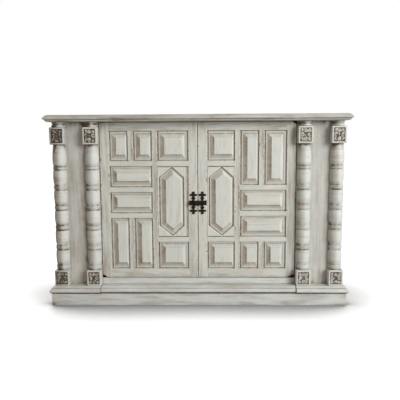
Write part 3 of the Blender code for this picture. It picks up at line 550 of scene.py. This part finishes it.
def shaft_outline():
    """Radius and height of the turned shaft, ring and bobbin in turn. The last ring is thin."""
    outline = [(0.0, SHAFT[0]), (CORE, SHAFT[0])]
    level = SHAFT[0] + OVERLAP
    for i in range(RING_COUNT):
        last = i == RING_COUNT - 1
        ring = RING - THINNER_TOP_RING if last else RING
        outline.extend(ring_outline(level + QUIRK_UNDER_RING, ring - RING_QUIRKS,
                                    RING_FOOT, RING_SWELL, RING_FLARE, RING_STEPS))
        level += ring
        length = BOBBIN + (LONGER_VASE + THINNER_TOP_RING - 2 * OVERLAP if last else 0)
        for step in range(1, BOBBIN_STEPS + 1):
            share = (1 - math.cos(math.pi * step / BOBBIN_STEPS)) / 2
            outline.append((bobbin_radius(share, last), level + (length - QUIRK_OVER_BOBBIN) * share))
        level += length
        outline.append((QUIRK, level))
    outline.extend([(CORE, SHAFT[1]), (0.0, SHAFT[1])])
    return outline


def collar_outline():
    """Radius and height of the ring and the hollow neck above the upper block."""
    low = UPPER_BLOCK[1] - OVERLAP
    outline = [(0.0, low), (CORE, low), (CORE, low + 0.0024)]
    outline.extend(ring_outline(low + 0.0030, 0.0095, COLLAR_RING_FOOT, COLLAR_RING_SWELL, 0.0, 6))
    outline.extend((radius, low + height) for radius, height in COLLAR_NECK)
    outline.extend([(COLLAR_CAP, COLLAR_TOP - 0.0012), (COLLAR_CAP, COLLAR_TOP), (0.0, COLLAR_TOP)])
    return outline


def turned(name, outline):
    """A half-round turning about the Z axis, flat at the back and closed at both ends."""
    mesh = bpy.data.meshes.new(name)
    points = [(-radius, 0, level) for radius, level in outline]
    mesh.from_pydata(points, [(i, i + 1) for i in range(len(points) - 1)], [])
    piece = bpy.data.objects.new(name, mesh)
    bpy.context.scene.collection.objects.link(piece)
    start_edit(piece)
    bpy.ops.mesh.select_mode(type="VERT")
    bpy.ops.mesh.select_all(action="SELECT")
    bpy.ops.mesh.spin(steps=28, angle=-math.pi, center=(0, 0, 0), axis=(0, 0, 1))
    bpy.ops.mesh.select_all(action="SELECT")
    bpy.ops.mesh.remove_doubles(threshold=0.00001)
    bpy.ops.mesh.select_all(action="DESELECT")
    bpy.ops.mesh.select_non_manifold(use_wire=False, use_boundary=True, use_multi_face=False,
                                     use_non_contiguous=False, use_verts=False)
    bpy.ops.mesh.edge_face_add()
    bpy.ops.mesh.select_all(action="SELECT")
    bpy.ops.mesh.normals_make_consistent(inside=False)
    end_edit()
    piece.data.transform(Matrix.Translation((0, -SET_IN, 0)))
    return piece


# The rosette's parts lie at these distances from its middle, where 1 is the edge of the sunk square.
BUTTON = 0.13
BUTTON_CUT = 0.19
PETAL_END = 0.72
RIM_CUT = 0.93


def cut_line(distance, half_width):
    """Depth of a V-shaped cut beside its middle line, from 0 to 1."""
    return max(0.0, 1 - abs(distance) / half_width)


def rosette_height(u, v, seed):
    """Relief of the rosette at a place from -1 to 1: four pointed petals, parted by deep cuts on
    the diagonals, four corner leaves and a button. Noise keeps the hand-cut lines uneven."""
    rim = max(0.25, min(1.0, 0.62 + 0.9 * noise.noise(Vector((2.2 * u, 2.2 * v, seed + 4.1)))))
    u, v = (u + 0.11 * noise.noise(Vector((3 * u, 3 * v, seed + 1.7))),
            v + 0.11 * noise.noise(Vector((3 * u, 3 * v, seed + 7.3))))
    reach = math.hypot(u, v)
    turn = math.atan2(v, u) % (math.pi / 2)
    off_axis = min(turn, math.pi / 2 - turn)
    off_diagonal = math.pi / 4 - off_axis
    if reach < BUTTON:
        return 0.8 * math.sqrt(1 - (reach / (BUTTON + 0.01)) ** 2)
    cuts = [0.8 * cut_line(reach - BUTTON_CUT, 0.10)]
    if reach < PETAL_END:
        between_petals = 0.05 + 0.16 * math.sin(math.pi * min(1.0, reach / PETAL_END))
        cuts.append(cut_line(reach * off_diagonal, between_petals))
    else:
        cuts.append(cut_line(reach - PETAL_END, 0.12) * max(0.0, 1 - off_diagonal / 0.5))
        cuts.append(0.9 * cut_line(reach * (off_axis - 0.40), 0.09))
    cuts.append(0.5 * cut_line(reach * off_axis, 0.05))
    cuts.append(rim * cut_line(max(abs(u), abs(v)) - RIM_CUT, 0.09))
    return 1 - max(cuts)


BLOCK_ARRIS = 0.0038
# Width and depth of each step from the block's border down to the floor of the carving.
SUNK_STEPS = ((0.0036, 0.0), (0.0012, -0.0008), (0.0008, -0.0022))
CARVING_GRID = 46
ROSETTE_RELIEF = 0.0027


def carved_block(name, low, high):
    """A square block whose front is sunk inside a border and cut with a rosette."""
    block = squared_blank((-BLOCK_HALF, -BLOCK_DEPTH, low), (BLOCK_HALF, 0, high))
    block.name = name
    start_edit(block)
    bpy.ops.mesh.bevel(offset=BLOCK_ARRIS, segments=4, affect="EDGES")
    for face in bmesh.from_edit_mesh(block.data).faces:
        face.select = face.normal.y < -0.999
    bmesh.update_edit_mesh(block.data)
    for width, depth in SUNK_STEPS:
        bpy.ops.mesh.inset(thickness=width, depth=depth)
    bpy.ops.mesh.subdivide(number_cuts=CARVING_GRID)
    sunk_floor = [v for v in bmesh.from_edit_mesh(block.data).verts if v.select]
    across = max(v.co.x for v in sunk_floor)
    up = (max(v.co.z for v in sunk_floor) - min(v.co.z for v in sunk_floor)) / 2
    for vertex in sunk_floor:
        u, v = vertex.co.x / across, (vertex.co.z - (low + high) / 2) / up
        from_edge = min(1.0, 12 * (1 - max(abs(u), abs(v))))
        vertex.co.y -= ROSETTE_RELIEF * max(0.0, from_edge) * rosette_height(u, v, low)
    bmesh.update_edit_mesh(block.data)
    end_edit()
    return block


CARVED_HALF = BLOCK_HALF - 0.0070
CARVING_DEPTH = 0.003
GROOVED_BELOW, GROOVE_DEPTH = 0.0350, 0.0046


def carving_glaze_and_shade(point, heavy, seed, leftwards):
    """Dark in the cuts of the rosette, as glaze and painted shade; thin on the block's border and sides, with
    painted shade growing to the left.
    """
    sunk = max(0.0, (BLOCK_DEPTH + point.y) / CARVING_DEPTH)
    rough = 0.60 + 1.0 * max(0.0, noise.noise(point * 90 + Vector((seed * 50, 0, 0))) + 0.38)
    grime = heavy
    if point.z < LOWER_BLOCK[1]:
        grime -= 0.6 * max(0.0, heavy - 1.0)
    if abs(point.x) < CARVED_HALF and 0.02 < sunk < 1.2:
        return (grime - 0.46 + 1.25 * grime * sunk) * rough
    return 0.08 + max(0.0, heavy - 0.95) * (0.35 + 1.6 * rough * leftwards)


def column_glaze_and_shade(heavy, seed):
    """Glaze stays in the turned grooves and the carving and on the rings. Painted shade darkens the side
    away from the lamp, the grooves towards the left, and the edge against the wing board."""
    def glaze_and_shade(point):
        wiped = smudge(point, "xy", seed)
        against = (0.6 if point.x > 0 else 0.35) * math.exp(point.y / 0.006)
        leftwards = max(0.0, -point.x / BLOCK_HALF)
        unlit = max(0.0, min(1.0, (0.25 - point.x / BLOCK_HALF) / 0.40))
        shade = 0.75 * heavy if point.z > UPPER_BLOCK[1] else 0.60 * (heavy - 0.55)
        shaded = shade * unlit + wiped * (0.09 + 0.11 * unlit)
        in_lower_block = LOWER_BLOCK[0] - 0.001 < point.z < LOWER_BLOCK[1]
        if in_lower_block or UPPER_BLOCK[0] < point.z < UPPER_BLOCK[1]:
            return max(against, shaded * 0.5, min(1.6, carving_glaze_and_shade(point, heavy, seed, leftwards)))
        blotch = noise.noise(Vector((point.x * 60 + seed * 70, point.y * 60, point.z * 14)))
        grooved = max(0.0, (GROOVED_BELOW - math.hypot(point.x, point.y)) / GROOVE_DEPTH)
        grooved *= max(0.25, 0.85 + 1.5 * blotch)
        turn, above_turn = divmod(point.z - SHAFT[0] - OVERLAP, RING + BOBBIN)
        on_ring = 0.14 * heavy if turn < RING_COUNT and above_turn < RING else 0.0
        in_groove = 0.9 * heavy * grooved * (0.42 + 0.30 * leftwards + 0.7 * wiped)
        return min(1.0, max(against, shaded + on_ring + in_groove))
    return glaze_and_shade


# How much glaze each column carries; it also sets how dark the column's painted shade is.
COLUMN_GRIME_AND_SHADE = {"left_outer_column": 1.36, "left_inner_column": 1.02,
                "right_inner_column": 0.83, "right_outer_column": 0.90}
column_model = turned("half_column", shaft_outline())
for other in (turned("column_collar", collar_outline()), carved_block("lower_block", *LOWER_BLOCK),
              carved_block("upper_block", *UPPER_BLOCK)):
    combine(column_model, other, "UNION")
start_edit(column_model)
bpy.ops.mesh.normals_make_consistent(inside=False)
end_edit()
bpy.ops.object.shade_smooth_by_angle(angle=math.radians(38))
for node, axis in COLUMN_AXES.items():
    column = bpy.data.objects.new(node + "_turned", column_model.data.copy())
    bpy.context.scene.collection.objects.link(column)
    mark_points(column, "glaze_and_shade", column_glaze_and_shade(COLUMN_GRIME_AND_SHADE[node], axis))
    column.data.transform(Matrix.Translation((axis, COLUMN_BACK, 0)))
    column.data.materials.append(PAINT["xy"])
    number_board(column)
    fit(column, "carcass", node)
bpy.data.objects.remove(column_model)


# Top board: one slab with a roll over a small ovolo run round the front and both ends.
# Hands and dusting have rubbed its roll; glaze was left thick in the quirk under it, and the underside is
# painted dark as shade.
TOP_UNDERSIDE = 0.920
TOP_QUIRK = (0.0088, 0.0112)
NOSE_LEVEL = 0.940
ROLL_WIDTH = 0.022
ROLL_HEIGHT = 0.015
PLANED_OFF = 0.6
TOP_CUTS = [-0.735 + 0.03 * i for i in range(50)]


def top_glaze_and_shade(face, point):
    """Dark in the quirk, painted shade underneath; the roll is browner towards the left end."""
    over_underside = face.center.z - TOP_UNDERSIDE
    if TOP_QUIRK[0] < over_underside < TOP_QUIRK[1]:
        return 0.85
    if over_underside < 0.003:
        return 0.45
    browner = 0.26 * max(0.0, min(1.0, 0.6 - point.x)) + 0.45 * smudge(point, "x", 0.63)
    return (0.12 if over_underside < 0.034 else 0.02) + browner


def plane_roll(slab):
    """Above its nose the roll is planed nearly straight, not to a full round."""
    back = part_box("top_board")[1].y
    for vertex in slab.data.vertices:
        up = (vertex.co.z - NOSE_LEVEL) / ROLL_HEIGHT
        if 0 < up < 1:
            rounded = 1 - math.sqrt(1 - up ** 2)
            shift = PLANED_OFF * ROLL_WIDTH * (up - rounded)
            vertex.co.x -= math.copysign(shift, vertex.co.x)
            vertex.co.y += shift if vertex.co.y < back - ROLL_WIDTH else 0.0


top = copied("top_board", "top_board_painted", PAINT["x"], smooth=35)
plane_roll(top)
cut_across(top, TOP_CUTS)
mark_corners(top, "glaze_and_shade", top_glaze_and_shade)
fit(top, "carcass", "top_board")


# Doors: stiles and rails hold a lattice of bars, grooved for loose panels.
# The bars are flush with the frame and every arris along an opening is eased.
# Iron shoes are let in flush at three corners of the hinge stiles, by the pivots; their dark also stands in
# for the shade in the gaps there.
AGED_WHITE = ((0.556, 0.566, 0.520), (0.596, 0.584, 0.524))
DOOR_PAINT = {"x": distressed_paint("door_paint_level", "x", AGED_WHITE),
              "z": distressed_paint("door_paint_upright", "z", AGED_WHITE)}
BLACK_WAX = (0.011, 0.008, 0.003)
BROWN_WAX = (0.030, 0.020, 0.008)


def black_iron(name):
    """Hammered iron under dark wax."""
    material, shader, place = new_finish(name)
    hammered = place.node("TexVoronoi", {"Vector": place, "Scale": 240.0}, "Distance", feature="SMOOTH_F1")
    grime = cloud(place, scale=160, detail=4.0, roughness=0.6)
    tone = tint(ramp(grime, 0.45, 0.70), BLACK_WAX, BROWN_WAX)
    plug(shader, Base_Color=tone, Roughness=grime * 0.35 + 0.40)
    shader.inputs["Metallic"].default_value = 0.3
    shader.inputs["Specular IOR Level"].default_value = 0.08
    plug(shader, Normal=bumps(hammered * 0.7 + grime * 0.3, strength=0.5, distance=0.0010))
    return material


IRON = black_iron("black_iron_waxed")
LIP = 0.0067


def opening(node):
    """X and Z reach of the opening that a tongued piece fills."""
    low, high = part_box(node)
    return low.x + LIP, high.x - LIP, low.z + LIP, high.z - LIP


def join(pieces, name):
    bpy.ops.object.select_all(action="DESELECT")
    for piece in pieces:
        piece.select_set(True)
    bpy.context.view_layer.objects.active = pieces[0]
    bpy.ops.object.join()
    pieces[0].name = name
    return pieces[0]


# Each shoe gives the side and end of its corner, and how far it reaches along and up.
IRON_SHADE_SHOES = {"left_hinge_stile": ((-1, -1, 0.024, 0.015),),
              "right_hinge_stile": ((1, -1, 0.042, 0.014), (1, 1, 0.028, 0.013))}


def iron_shade_shoe(stile, low, high, side, end, along, up):
    """The shoe of the pivot, let in flush, shows as a dark triangle at an outer corner of a stile, standing
    in for the shade in the gap there.
    """
    corner = Vector((high.x if side > 0 else low.x, 0, high.z if end > 0 else low.z))
    on_line = corner - Vector((side * along, 0, 0))
    outwards = Vector((side * up, 0, end * along))
    start_edit(stile)
    bpy.ops.mesh.bisect(plane_co=on_line, plane_no=outwards)
    end_edit()
    for face in stile.data.polygons:
        if outwards.dot(face.center - on_line) > 0:
            face.material_index = 1


FRAME_ARRIS = 0.0011
# The right edge of the right hinge stile, beside its column, and the head of the top rail, under the top
# board, carry painted shade as well as glaze.
STILE_GLAZE_AND_SHADE = {"left_hinge_stile": (0.34, 0.08), "left_lock_stile": (0.10, 0.10),
               "right_lock_stile": (0.10, 0.00), "right_hinge_stile": (0.00, 0.62)}
STILE_END_GLAZE = (0.20, 0.18)
RAIL_GLAZE_AND_SHADE = {"top_rail": (0.0, 0.0, 0.05, 0.35), "bottom_rail": (0.0, 0.0, 0.22, 0.0)}
UPRIGHT_GLAZE = (0.0, 0.75, 0.0, 0.0)
INSERT_JOINT = 0.95
WIDE_COLUMN = ("small_panel_inner", "wide_panel_upper", "wide_panel_lower", "tall_panel_inner")
SQUARE_COLUMN = ("square_panel_upper", "hexagon_frame", "square_panel_lower")
INSERT_TRIM = 0.0065
INSERT_GAP = 0.0022
INSERT_BROWN = {"left": 0.85, "right": 0.10}
BROWN_BAND, BAND_CUTS = 0.013, 6


def insert_glaze(joint_edge, strength):
    """Brown along the right-hand joint of the insert that holds the hexagon."""
    def glaze_and_shade(face, point):
        return strength * max(0.0, 1 - ((joint_edge - point.x) / BROWN_BAND) ** 2)
    return glaze_and_shade


for word in ("left", "right"):
    body = word + "_door"
    front, back = (corner.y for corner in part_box(word + "_lock_stile"))
    field = opening(word + "_lattice")
    for node in (word + "_hinge_stile", word + "_lock_stile"):
        low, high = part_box(node)
        stile = wooden_bar(node + "_painted", low, high, DOOR_PAINT["z"], FRAME_ARRIS)
        edges = STILE_GLAZE_AND_SHADE[node] + STILE_END_GLAZE
        weather_and_shade(stile, "z", edges, 0.02, fade=0.024, uneven=0.28, rubbed=0.0045)
        if node in IRON_SHADE_SHOES:
            stile.data.materials.append(IRON)
        for shoe in IRON_SHADE_SHOES.get(node, ()):
            iron_shade_shoe(stile, low, high, *shoe)
        fit(stile, body, node)
    for name, edges in RAIL_GLAZE_AND_SHADE.items():
        node = word + "_" + name
        low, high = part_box(node)
        ends = (field[0], front, low.z), (field[1], back, high.z)
        rail = wooden_bar(node + "_painted", *ends, DOOR_PAINT["x"], FRAME_ARRIS)
        weather_and_shade(rail, "x", edges, 0.02, fade=0.016, uneven=0.34)
        fit(rail, body, node)

    square = opening(word + "_square_panel_upper")
    wide = opening(word + "_wide_panel_upper")
    inner = opening(word + "_small_panel_inner")
    outer = opening(word + "_small_panel_outer")
    tall = opening(word + "_tall_panel_inner")
    mullion = sorted(square[:2] + wide[:2])[1:3]
    muntin = sorted(inner[:2] + outer[:2])[1:3]
    bars = []
    for (x0, x1), (z0, z1) in ((mullion, field[2:]), (muntin, inner[2:]), (muntin, tall[2:])):
        bar = wooden_bar("upright_bar", (x0, front, z0), (x1, back, z1), DOOR_PAINT["z"])
        weather_and_shade(bar, "z", UPRIGHT_GLAZE, 0.0, fade=0.011, uneven=0.20, rubbed=0.004)
        bars.append(bar)
    foot, head = opening(word + "_hexagon_frame")[2:]
    insert_reach = (foot + INSERT_TRIM, head - INSERT_TRIM)
    for (x0, x1), names in ((wide[:2], WIDE_COLUMN), (square[:2], SQUARE_COLUMN)):
        rows = [insert_reach if name == "hexagon_frame" else opening(word + "_" + name)[2:] for name in names]
        rows.sort()
        for below, above in zip(rows, rows[1:]):
            bar = wooden_bar("cross_bar", (x0, front, below[1]), (x1, back, above[0]), DOOR_PAINT["x"])
            at_foot = INSERT_JOINT if below == insert_reach else 0.10
            at_head = INSERT_JOINT if above == insert_reach else 0.05
            weather_and_shade(bar, "x", (0.0, 0.0, at_foot, at_head), 0.0, fade=0.0026, uneven=0.18)
            bars.append(bar)
    lattice = join(bars, word + "_lattice_painted")
    fit(lattice, body, word + "_lattice")

    node = word + "_hexagon_frame"
    insert = copied(node, node + "_painted", DOOR_PAINT["z"])
    for vertex in insert.data.vertices:
        if vertex.co.z > head - 0.001:
            vertex.co.z -= INSERT_TRIM
        elif vertex.co.z < foot + 0.001:
            vertex.co.z += INSERT_TRIM
    joint_edge = max(vertex.co.x for vertex in insert.data.vertices) - LIP - INSERT_GAP
    cut_across(insert, [joint_edge - BROWN_BAND * i / BAND_CUTS for i in range(1, BAND_CUTS + 1)])
    mark_corners(insert, "glaze_and_shade", insert_glaze(joint_edge, INSERT_BROWN[word]))
    mark_faces(insert, "worn", slanted)
    fit(insert, body, node)


# Panels: each has a raised field, a wide bevel, a flat border and a deep quirk, and floats in its groove.
# They were cut by eye, so the fields stand to the right in their openings. Glaze lies in the
# quirks and along the bevels; painted shade darkens the sides that look left and down, away from the lamp.
MILLIMETRE = 0.001
TONGUE = 0.006
HEXAGON_GAP = 0.0022
TOP_ROW_LEVEL = 0.85
# For left, right, foot and head: how wide each ring is in millimetres and how much glaze and painted shade
# lie on it.
# The last number is how far the ring comes forward, also in millimetres.
PANEL_STEPS = {"ledge": ((2.8, 1.2, 1.2, 0.6), (0.50, 0.25, 0.45, 0.30), 0.0),
               "quirk": ((4.6, 2.8, 3.2, 1.4), (0.82, 0.36, 0.74, 0.58), 0.0),
               "wall": ((0.8, 0.8, 0.8, 0.8), (0.70, 0.25, 0.60, 0.30), 2.7),
               "arris": ((0.6, 0.4, 0.6, 0.6), (0.15, 0.05, 0.10, 0.05), 0.4),
               "border": ((4.6, 0.8, 5.6, 5.2), (0.26, 0.20, 0.16, 0.12), 0.0),
               "groove": ((1.2, 0.6, 1.2, 2.6), (0.50, 0.40, 0.30, 0.85), -0.5),
               "bevel_foot": ((7.0, 2.8, 6.4, 6.0), (0.60, 0.06, 0.26, 0.30), 2.2),
               "bevel_middle": ((7.2, 2.8, 6.4, 6.0), (0.66, 0.04, 0.40, 0.22), 2.2),
               "bevel_head": ((7.0, 2.6, 5.8, 5.6), (0.72, 0.04, 0.58, 0.16), 2.2),
               "shoulder": ((1.0, 0.6, 1.2, 1.2), (0.80, 0.25, 0.85, 0.60), 0.6),
               "field_edge": ((1.2, 1.2, 1.2, 1.2), (0.05, 0.0, 0.05, 0.05), 0.1)}
# Beside a stile on their right, and under the top rail, panels have wider rings on that side.
BESIDE_STILE = {"left": ("square_panel_upper", "square_panel_lower"),
                "right": ("small_panel_outer", "wide_panel_upper", "wide_panel_lower", "tall_panel_outer")}
BY_STILE = {"border": 10.0, "groove": 2.4, "bevel_foot": 4.6, "bevel_middle": 4.6, "bevel_head": 4.4}
# The groove beside such a stile holds a painted shadow line as well as glaze.
BY_STILE_GROOVE_GLAZE_AND_SHADE = 0.80
UNDER_RAIL = {"quirk": 3.2, "border": 8.0}


def hexagon_corners(node):
    """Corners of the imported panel's tongue, anticlockwise from the lowest."""
    points = [vertex.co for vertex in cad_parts[node].data.vertices]
    corners = []
    for along, up in ((0, -1), (1, -0.3), (1, 0.3), (0, 1), (-1, 0.3), (-1, -0.3)):
        corner = max(points, key=lambda point: along * point.x + up * point.z)
        corners.append((corner.x, corner.z))
    return corners


def by_side(outwards, values):
    """Value for a side of a panel out of those for left, right, foot and head."""
    left, right, foot, head = values
    level = right if outwards.x > 0 else left
    upright = head if outwards.y > 0 else foot
    return outwards.x ** 2 * level + outwards.y ** 2 * upright


def facing(start, stop):
    """The way that a side of an anticlockwise outline looks."""
    run = (stop - start).normalized()
    return Vector((run.y, -run.x))


def move_in(corners, widths):
    """Corners of an outline after each side has moved in by its own width."""
    points = [Vector(corner) for corner in corners]
    sides = []
    for start, stop in zip(points, points[1:] + points[:1]):
        outwards = facing(start, stop)
        sides.append((outwards, outwards.dot(start) - by_side(outwards, widths)))
    moved = []
    for (before, reach), (after, next_reach) in zip(sides[-1:] + sides[:-1], sides):
        crossing = before.x * after.y - before.y * after.x
        moved.append(Vector(((reach * after.y - next_reach * before.y) / crossing,
                             (next_reach * before.x - reach * after.x) / crossing)))
    return moved


def ring_corners(corners, steps):
    """The panel's outline and the corners of each ring inside it."""
    rings = [[Vector(corner) for corner in corners]]
    for widths, _, _ in steps:
        rings.append(move_in(rings[-1], [width * MILLIMETRE for width in widths]))
    return rings


def raised_panel(name, corners, steps, front, back, material):
    """A closed panel, built up from its tongue by pushing the front face on ring by ring."""
    bpy.ops.object.select_all(action="DESELECT")
    bpy.ops.mesh.primitive_circle_add(vertices=len(corners), radius=0.05, fill_type="NGON")
    piece = bpy.context.object
    piece.name = name
    for vertex, (x, z) in zip(piece.data.vertices, corners):
        vertex.co = (x, back, z)
    start_edit(piece)
    bpy.ops.mesh.extrude_region_move(TRANSFORM_OT_translate={"value": (0, front - back, 0)})
    rings = ring_corners(corners, steps)
    for (_, _, forwards), ring, moved in zip(steps, rings, rings[1:]):
        bpy.ops.mesh.extrude_region_move()
        for vertex in [v for v in bmesh.from_edit_mesh(piece.data).verts if v.select]:
            place = Vector((vertex.co.x, vertex.co.z))
            nearest = min(range(len(ring)), key=lambda i: (ring[i] - place).length)
            vertex.co = (moved[nearest].x, vertex.co.y - forwards * MILLIMETRE, moved[nearest].y)
        bmesh.update_edit_mesh(piece.data)
    bpy.ops.mesh.select_all(action="SELECT")
    bpy.ops.mesh.normals_make_consistent(inside=False)
    end_edit()
    number_board(piece)
    piece.data.materials.append(material)
    return piece


def panel_glaze_and_shade(corners, steps):
    """Glaze and painted shade on a panel's face, found from the ring and the side that the face lies on."""
    rings = ring_corners(corners, steps)
    count = len(corners)

    def glaze_and_shade(face):
        place = Vector((face.center.x, face.center.z))
        for (_, values, _), outside, inside in zip(steps, rings, rings[1:]):
            for i in range(count):
                after = (i + 1) % count
                middle = (outside[i] + outside[after] + inside[i] + inside[after]) / 4
                if (middle - place).length < 0.00005:
                    return by_side(facing(outside[i], outside[after]), values)
        return 0.0
    return glaze_and_shade


PANELS = ("small_panel_outer", "small_panel_inner", "square_panel_upper", "square_panel_lower",
          "wide_panel_upper", "wide_panel_lower", "tall_panel_outer", "tall_panel_inner", "hexagon_panel")
for word in ("left", "right"):
    for panel in PANELS:
        node = word + "_" + panel
        along = "x" if panel.startswith("wide") else "z"
        low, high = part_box(node)
        if panel == "hexagon_panel":
            corners = move_in(hexagon_corners(node), (HEXAGON_GAP,) * 4)
        else:
            x0, x1, z0, z1 = opening(node)
            corners = [(x0, z0), (x1, z0), (x1, z1), (x0, z1)]
        by_stile = panel in BESIDE_STILE[word]
        under_rail = panel != "hexagon_panel" and high.z > TOP_ROW_LEVEL
        steps = []
        for ring, ((left, right, foot, head), glaze_and_shade, forwards) in PANEL_STEPS.items():
            right = BY_STILE.get(ring, right) if by_stile else right
            head = UNDER_RAIL.get(ring, head) if under_rail else head
            if ring == "groove" and by_stile:
                glaze_and_shade = (glaze_and_shade[0], BY_STILE_GROOVE_GLAZE_AND_SHADE, *glaze_and_shade[2:])
            steps.append(((left, right, foot, head), glaze_and_shade, forwards))
        piece = raised_panel(node + "_carved", corners, steps, high.y - TONGUE, high.y, DOOR_PAINT[along])
        mark_faces(piece, "glaze_and_shade", panel_glaze_and_shade(corners, steps))
        fit(piece, word + "_door", node)


# Ironwork: latch plates, staples, bolt and pivots were forged, filed and blackened with wax.
# The bolt slides through the staple on the left plate into the one on the right.
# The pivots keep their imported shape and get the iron's finish.
for node in ("left_upper_pivot", "left_lower_pivot", "right_upper_pivot", "right_lower_pivot"):
    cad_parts[node].data.materials.clear()
    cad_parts[node].data.materials.append(IRON)


def forged(node, body, arris):
    """A forged piece whose edges are filed round."""
    piece = copied(node, node + "_forged", IRON)
    start_edit(piece)
    bpy.ops.mesh.select_mode(type="EDGE")
    for edge in bmesh.from_edit_mesh(piece.data).edges:
        edge.select = len(edge.link_faces) == 2 and edge.calc_face_angle_signed(0.0) > 0.6
    bmesh.update_edit_mesh(piece.data)
    bpy.ops.mesh.bevel(offset=arris, segments=2, affect="EDGES", clamp_overlap=True)
    end_edit()
    bpy.ops.object.shade_smooth_by_angle(angle=math.radians(40))
    fit(piece, body, node)


for word, staple in (("left", "bolt_guide"), ("right", "bolt_keeper")):
    forged(word + "_latch_plate", word + "_door", arris=0.0007)
    forged(staple, word + "_door", arris=0.0006)
forged("latch_bolt", "bolt", arris=0.0005)


# Stage: a white floor under soft studio light, seen from where the photograph was taken.
# Floor and sky are white only to the eye and in reflections. A large lamp on the right lights the
# object, a weak one fills from the left, and one behind it serves the other views.
FLOOR_GREY = ((0.30, 0.30, 0.30), (0.32, 0.32, 0.32))
SKY_LIGHT = (0.272, 0.247, 0.212)
WHITE = (1.0, 1.0, 1.0)
FOOT_FRONT, BEHIND_FRONT = -0.225, -0.10


def shown(wire):
    """1 where the eye, a reflection or glass meets the white, 0 for the light that it sheds on the object."""
    seen = wire.node("LightPath", {}, "Is Camera Ray")
    for kind in ("Is Glossy Ray", "Is Transmission Ray"):
        seen = seen.node("Math", {0: seen, 1: seen.node("LightPath", {}, kind)}, operation="MAXIMUM")
    return seen


bpy.ops.object.select_all(action="DESELECT")
bpy.ops.mesh.primitive_plane_add(size=30, location=(0, 6, 0))
bpy.ops.object.transform_apply(location=True)
studio_floor = bpy.context.object
studio_floor.name = "studio_floor"
floor_finish, floor_shader, floor_place = new_finish("studio_white")
plug(floor_shader, Base_Color=tint(cloud(floor_place, scale=3.0), *FLOOR_GREY))
# The white that shows is darkened by a painted shadow, worked out from ambient occlusion: close to the foot,
# and a wide, weak one further back.
clear = floor_place.node("AmbientOcclusion", {"Distance": 0.45}, "AO")
depth = floor_place.node("SeparateXYZ", {"Vector": floor_place}, "Y")
beside = ramp(depth, FOOT_FRONT, BEHIND_FRONT)
clear = clear + (1.0 - clear) * beside * 0.58
far = floor_place.node("AmbientOcclusion", {"Distance": 1.6}, "AO")
far_shade = (1.0 - ramp(far, 0.60, 0.98)) * beside * 0.34
shadow = (ramp(clear, 0.55, 0.97) * 0.87 + 0.01) * (1.0 - far_shade)
plug(floor_shader, Emission_Color=shown(floor_place) * shadow)
floor_shader.inputs["Emission Strength"].default_value = 1.0
floor_shader.inputs["Roughness"].default_value = 0.8
studio_floor.data.materials.append(floor_finish)

world = bpy.data.worlds.new("studio")
bpy.context.scene.world = world
world.use_nodes = True
sky = world.node_tree.nodes["Background"]
plug(sky, Color=tint(shown(Wire(sky.outputs[0])), SKY_LIGHT, WHITE))


def soft_lamp(name, place, target, size, power, colour=WHITE):
    lamp = bpy.data.objects.new(name, bpy.data.lights.new(name, "AREA"))
    lamp.data.color = colour
    lamp.data.size = size
    lamp.data.energy = power
    lamp.location = place
    lamp.rotation_euler = (Vector(target) - Vector(place)).to_track_quat("-Z", "Y").to_euler()
    bpy.context.scene.collection.objects.link(lamp)


soft_lamp("key_lamp", (4.0, -4.2, 2.5), (0, -0.15, 0.5), size=3.2, power=376, colour=(0.980, 1.0, 1.025))
soft_lamp("fill_lamp", (-2.8, -3.0, 1.6), (0, -0.1, 0.5), size=2.2, power=12)
soft_lamp("back_lamp", (-2.0, 4.6, 2.4), (0, 0.2, 0.5), size=3.0, power=170)

CAMERA_PLACE = (0.068, -2.85, 0.884)
SENSOR_WIDTH = 36.0
PICTURE_WIDTH = 400
FOCAL_PIXELS = 542
tilt, yaw, roll = math.radians(7.49), math.radians(1.22), math.radians(-0.35)
ahead = Vector((-math.sin(yaw), math.cos(yaw), 0))
sideways = Vector((math.cos(yaw), math.sin(yaw), 0))
forward = ahead * math.cos(tilt) - Vector((0, 0, math.sin(tilt)))
upright = ahead * math.sin(tilt) + Vector((0, 0, math.cos(tilt)))
right = sideways * math.cos(roll) + upright * math.sin(roll)
upward = upright * math.cos(roll) - sideways * math.sin(roll)
camera = bpy.data.objects.new("camera", bpy.data.cameras.new("camera"))
bpy.context.scene.collection.objects.link(camera)
aimed = Matrix((right, upward, -forward)).transposed().to_4x4()
camera.matrix_world = Matrix.Translation(CAMERA_PLACE) @ aimed
camera.data.sensor_width = SENSOR_WIDTH
camera.data.lens = SENSOR_WIDTH * FOCAL_PIXELS / PICTURE_WIDTH
bpy.context.scene.camera = camera
bpy.context.scene.view_settings.view_transform = "Standard"
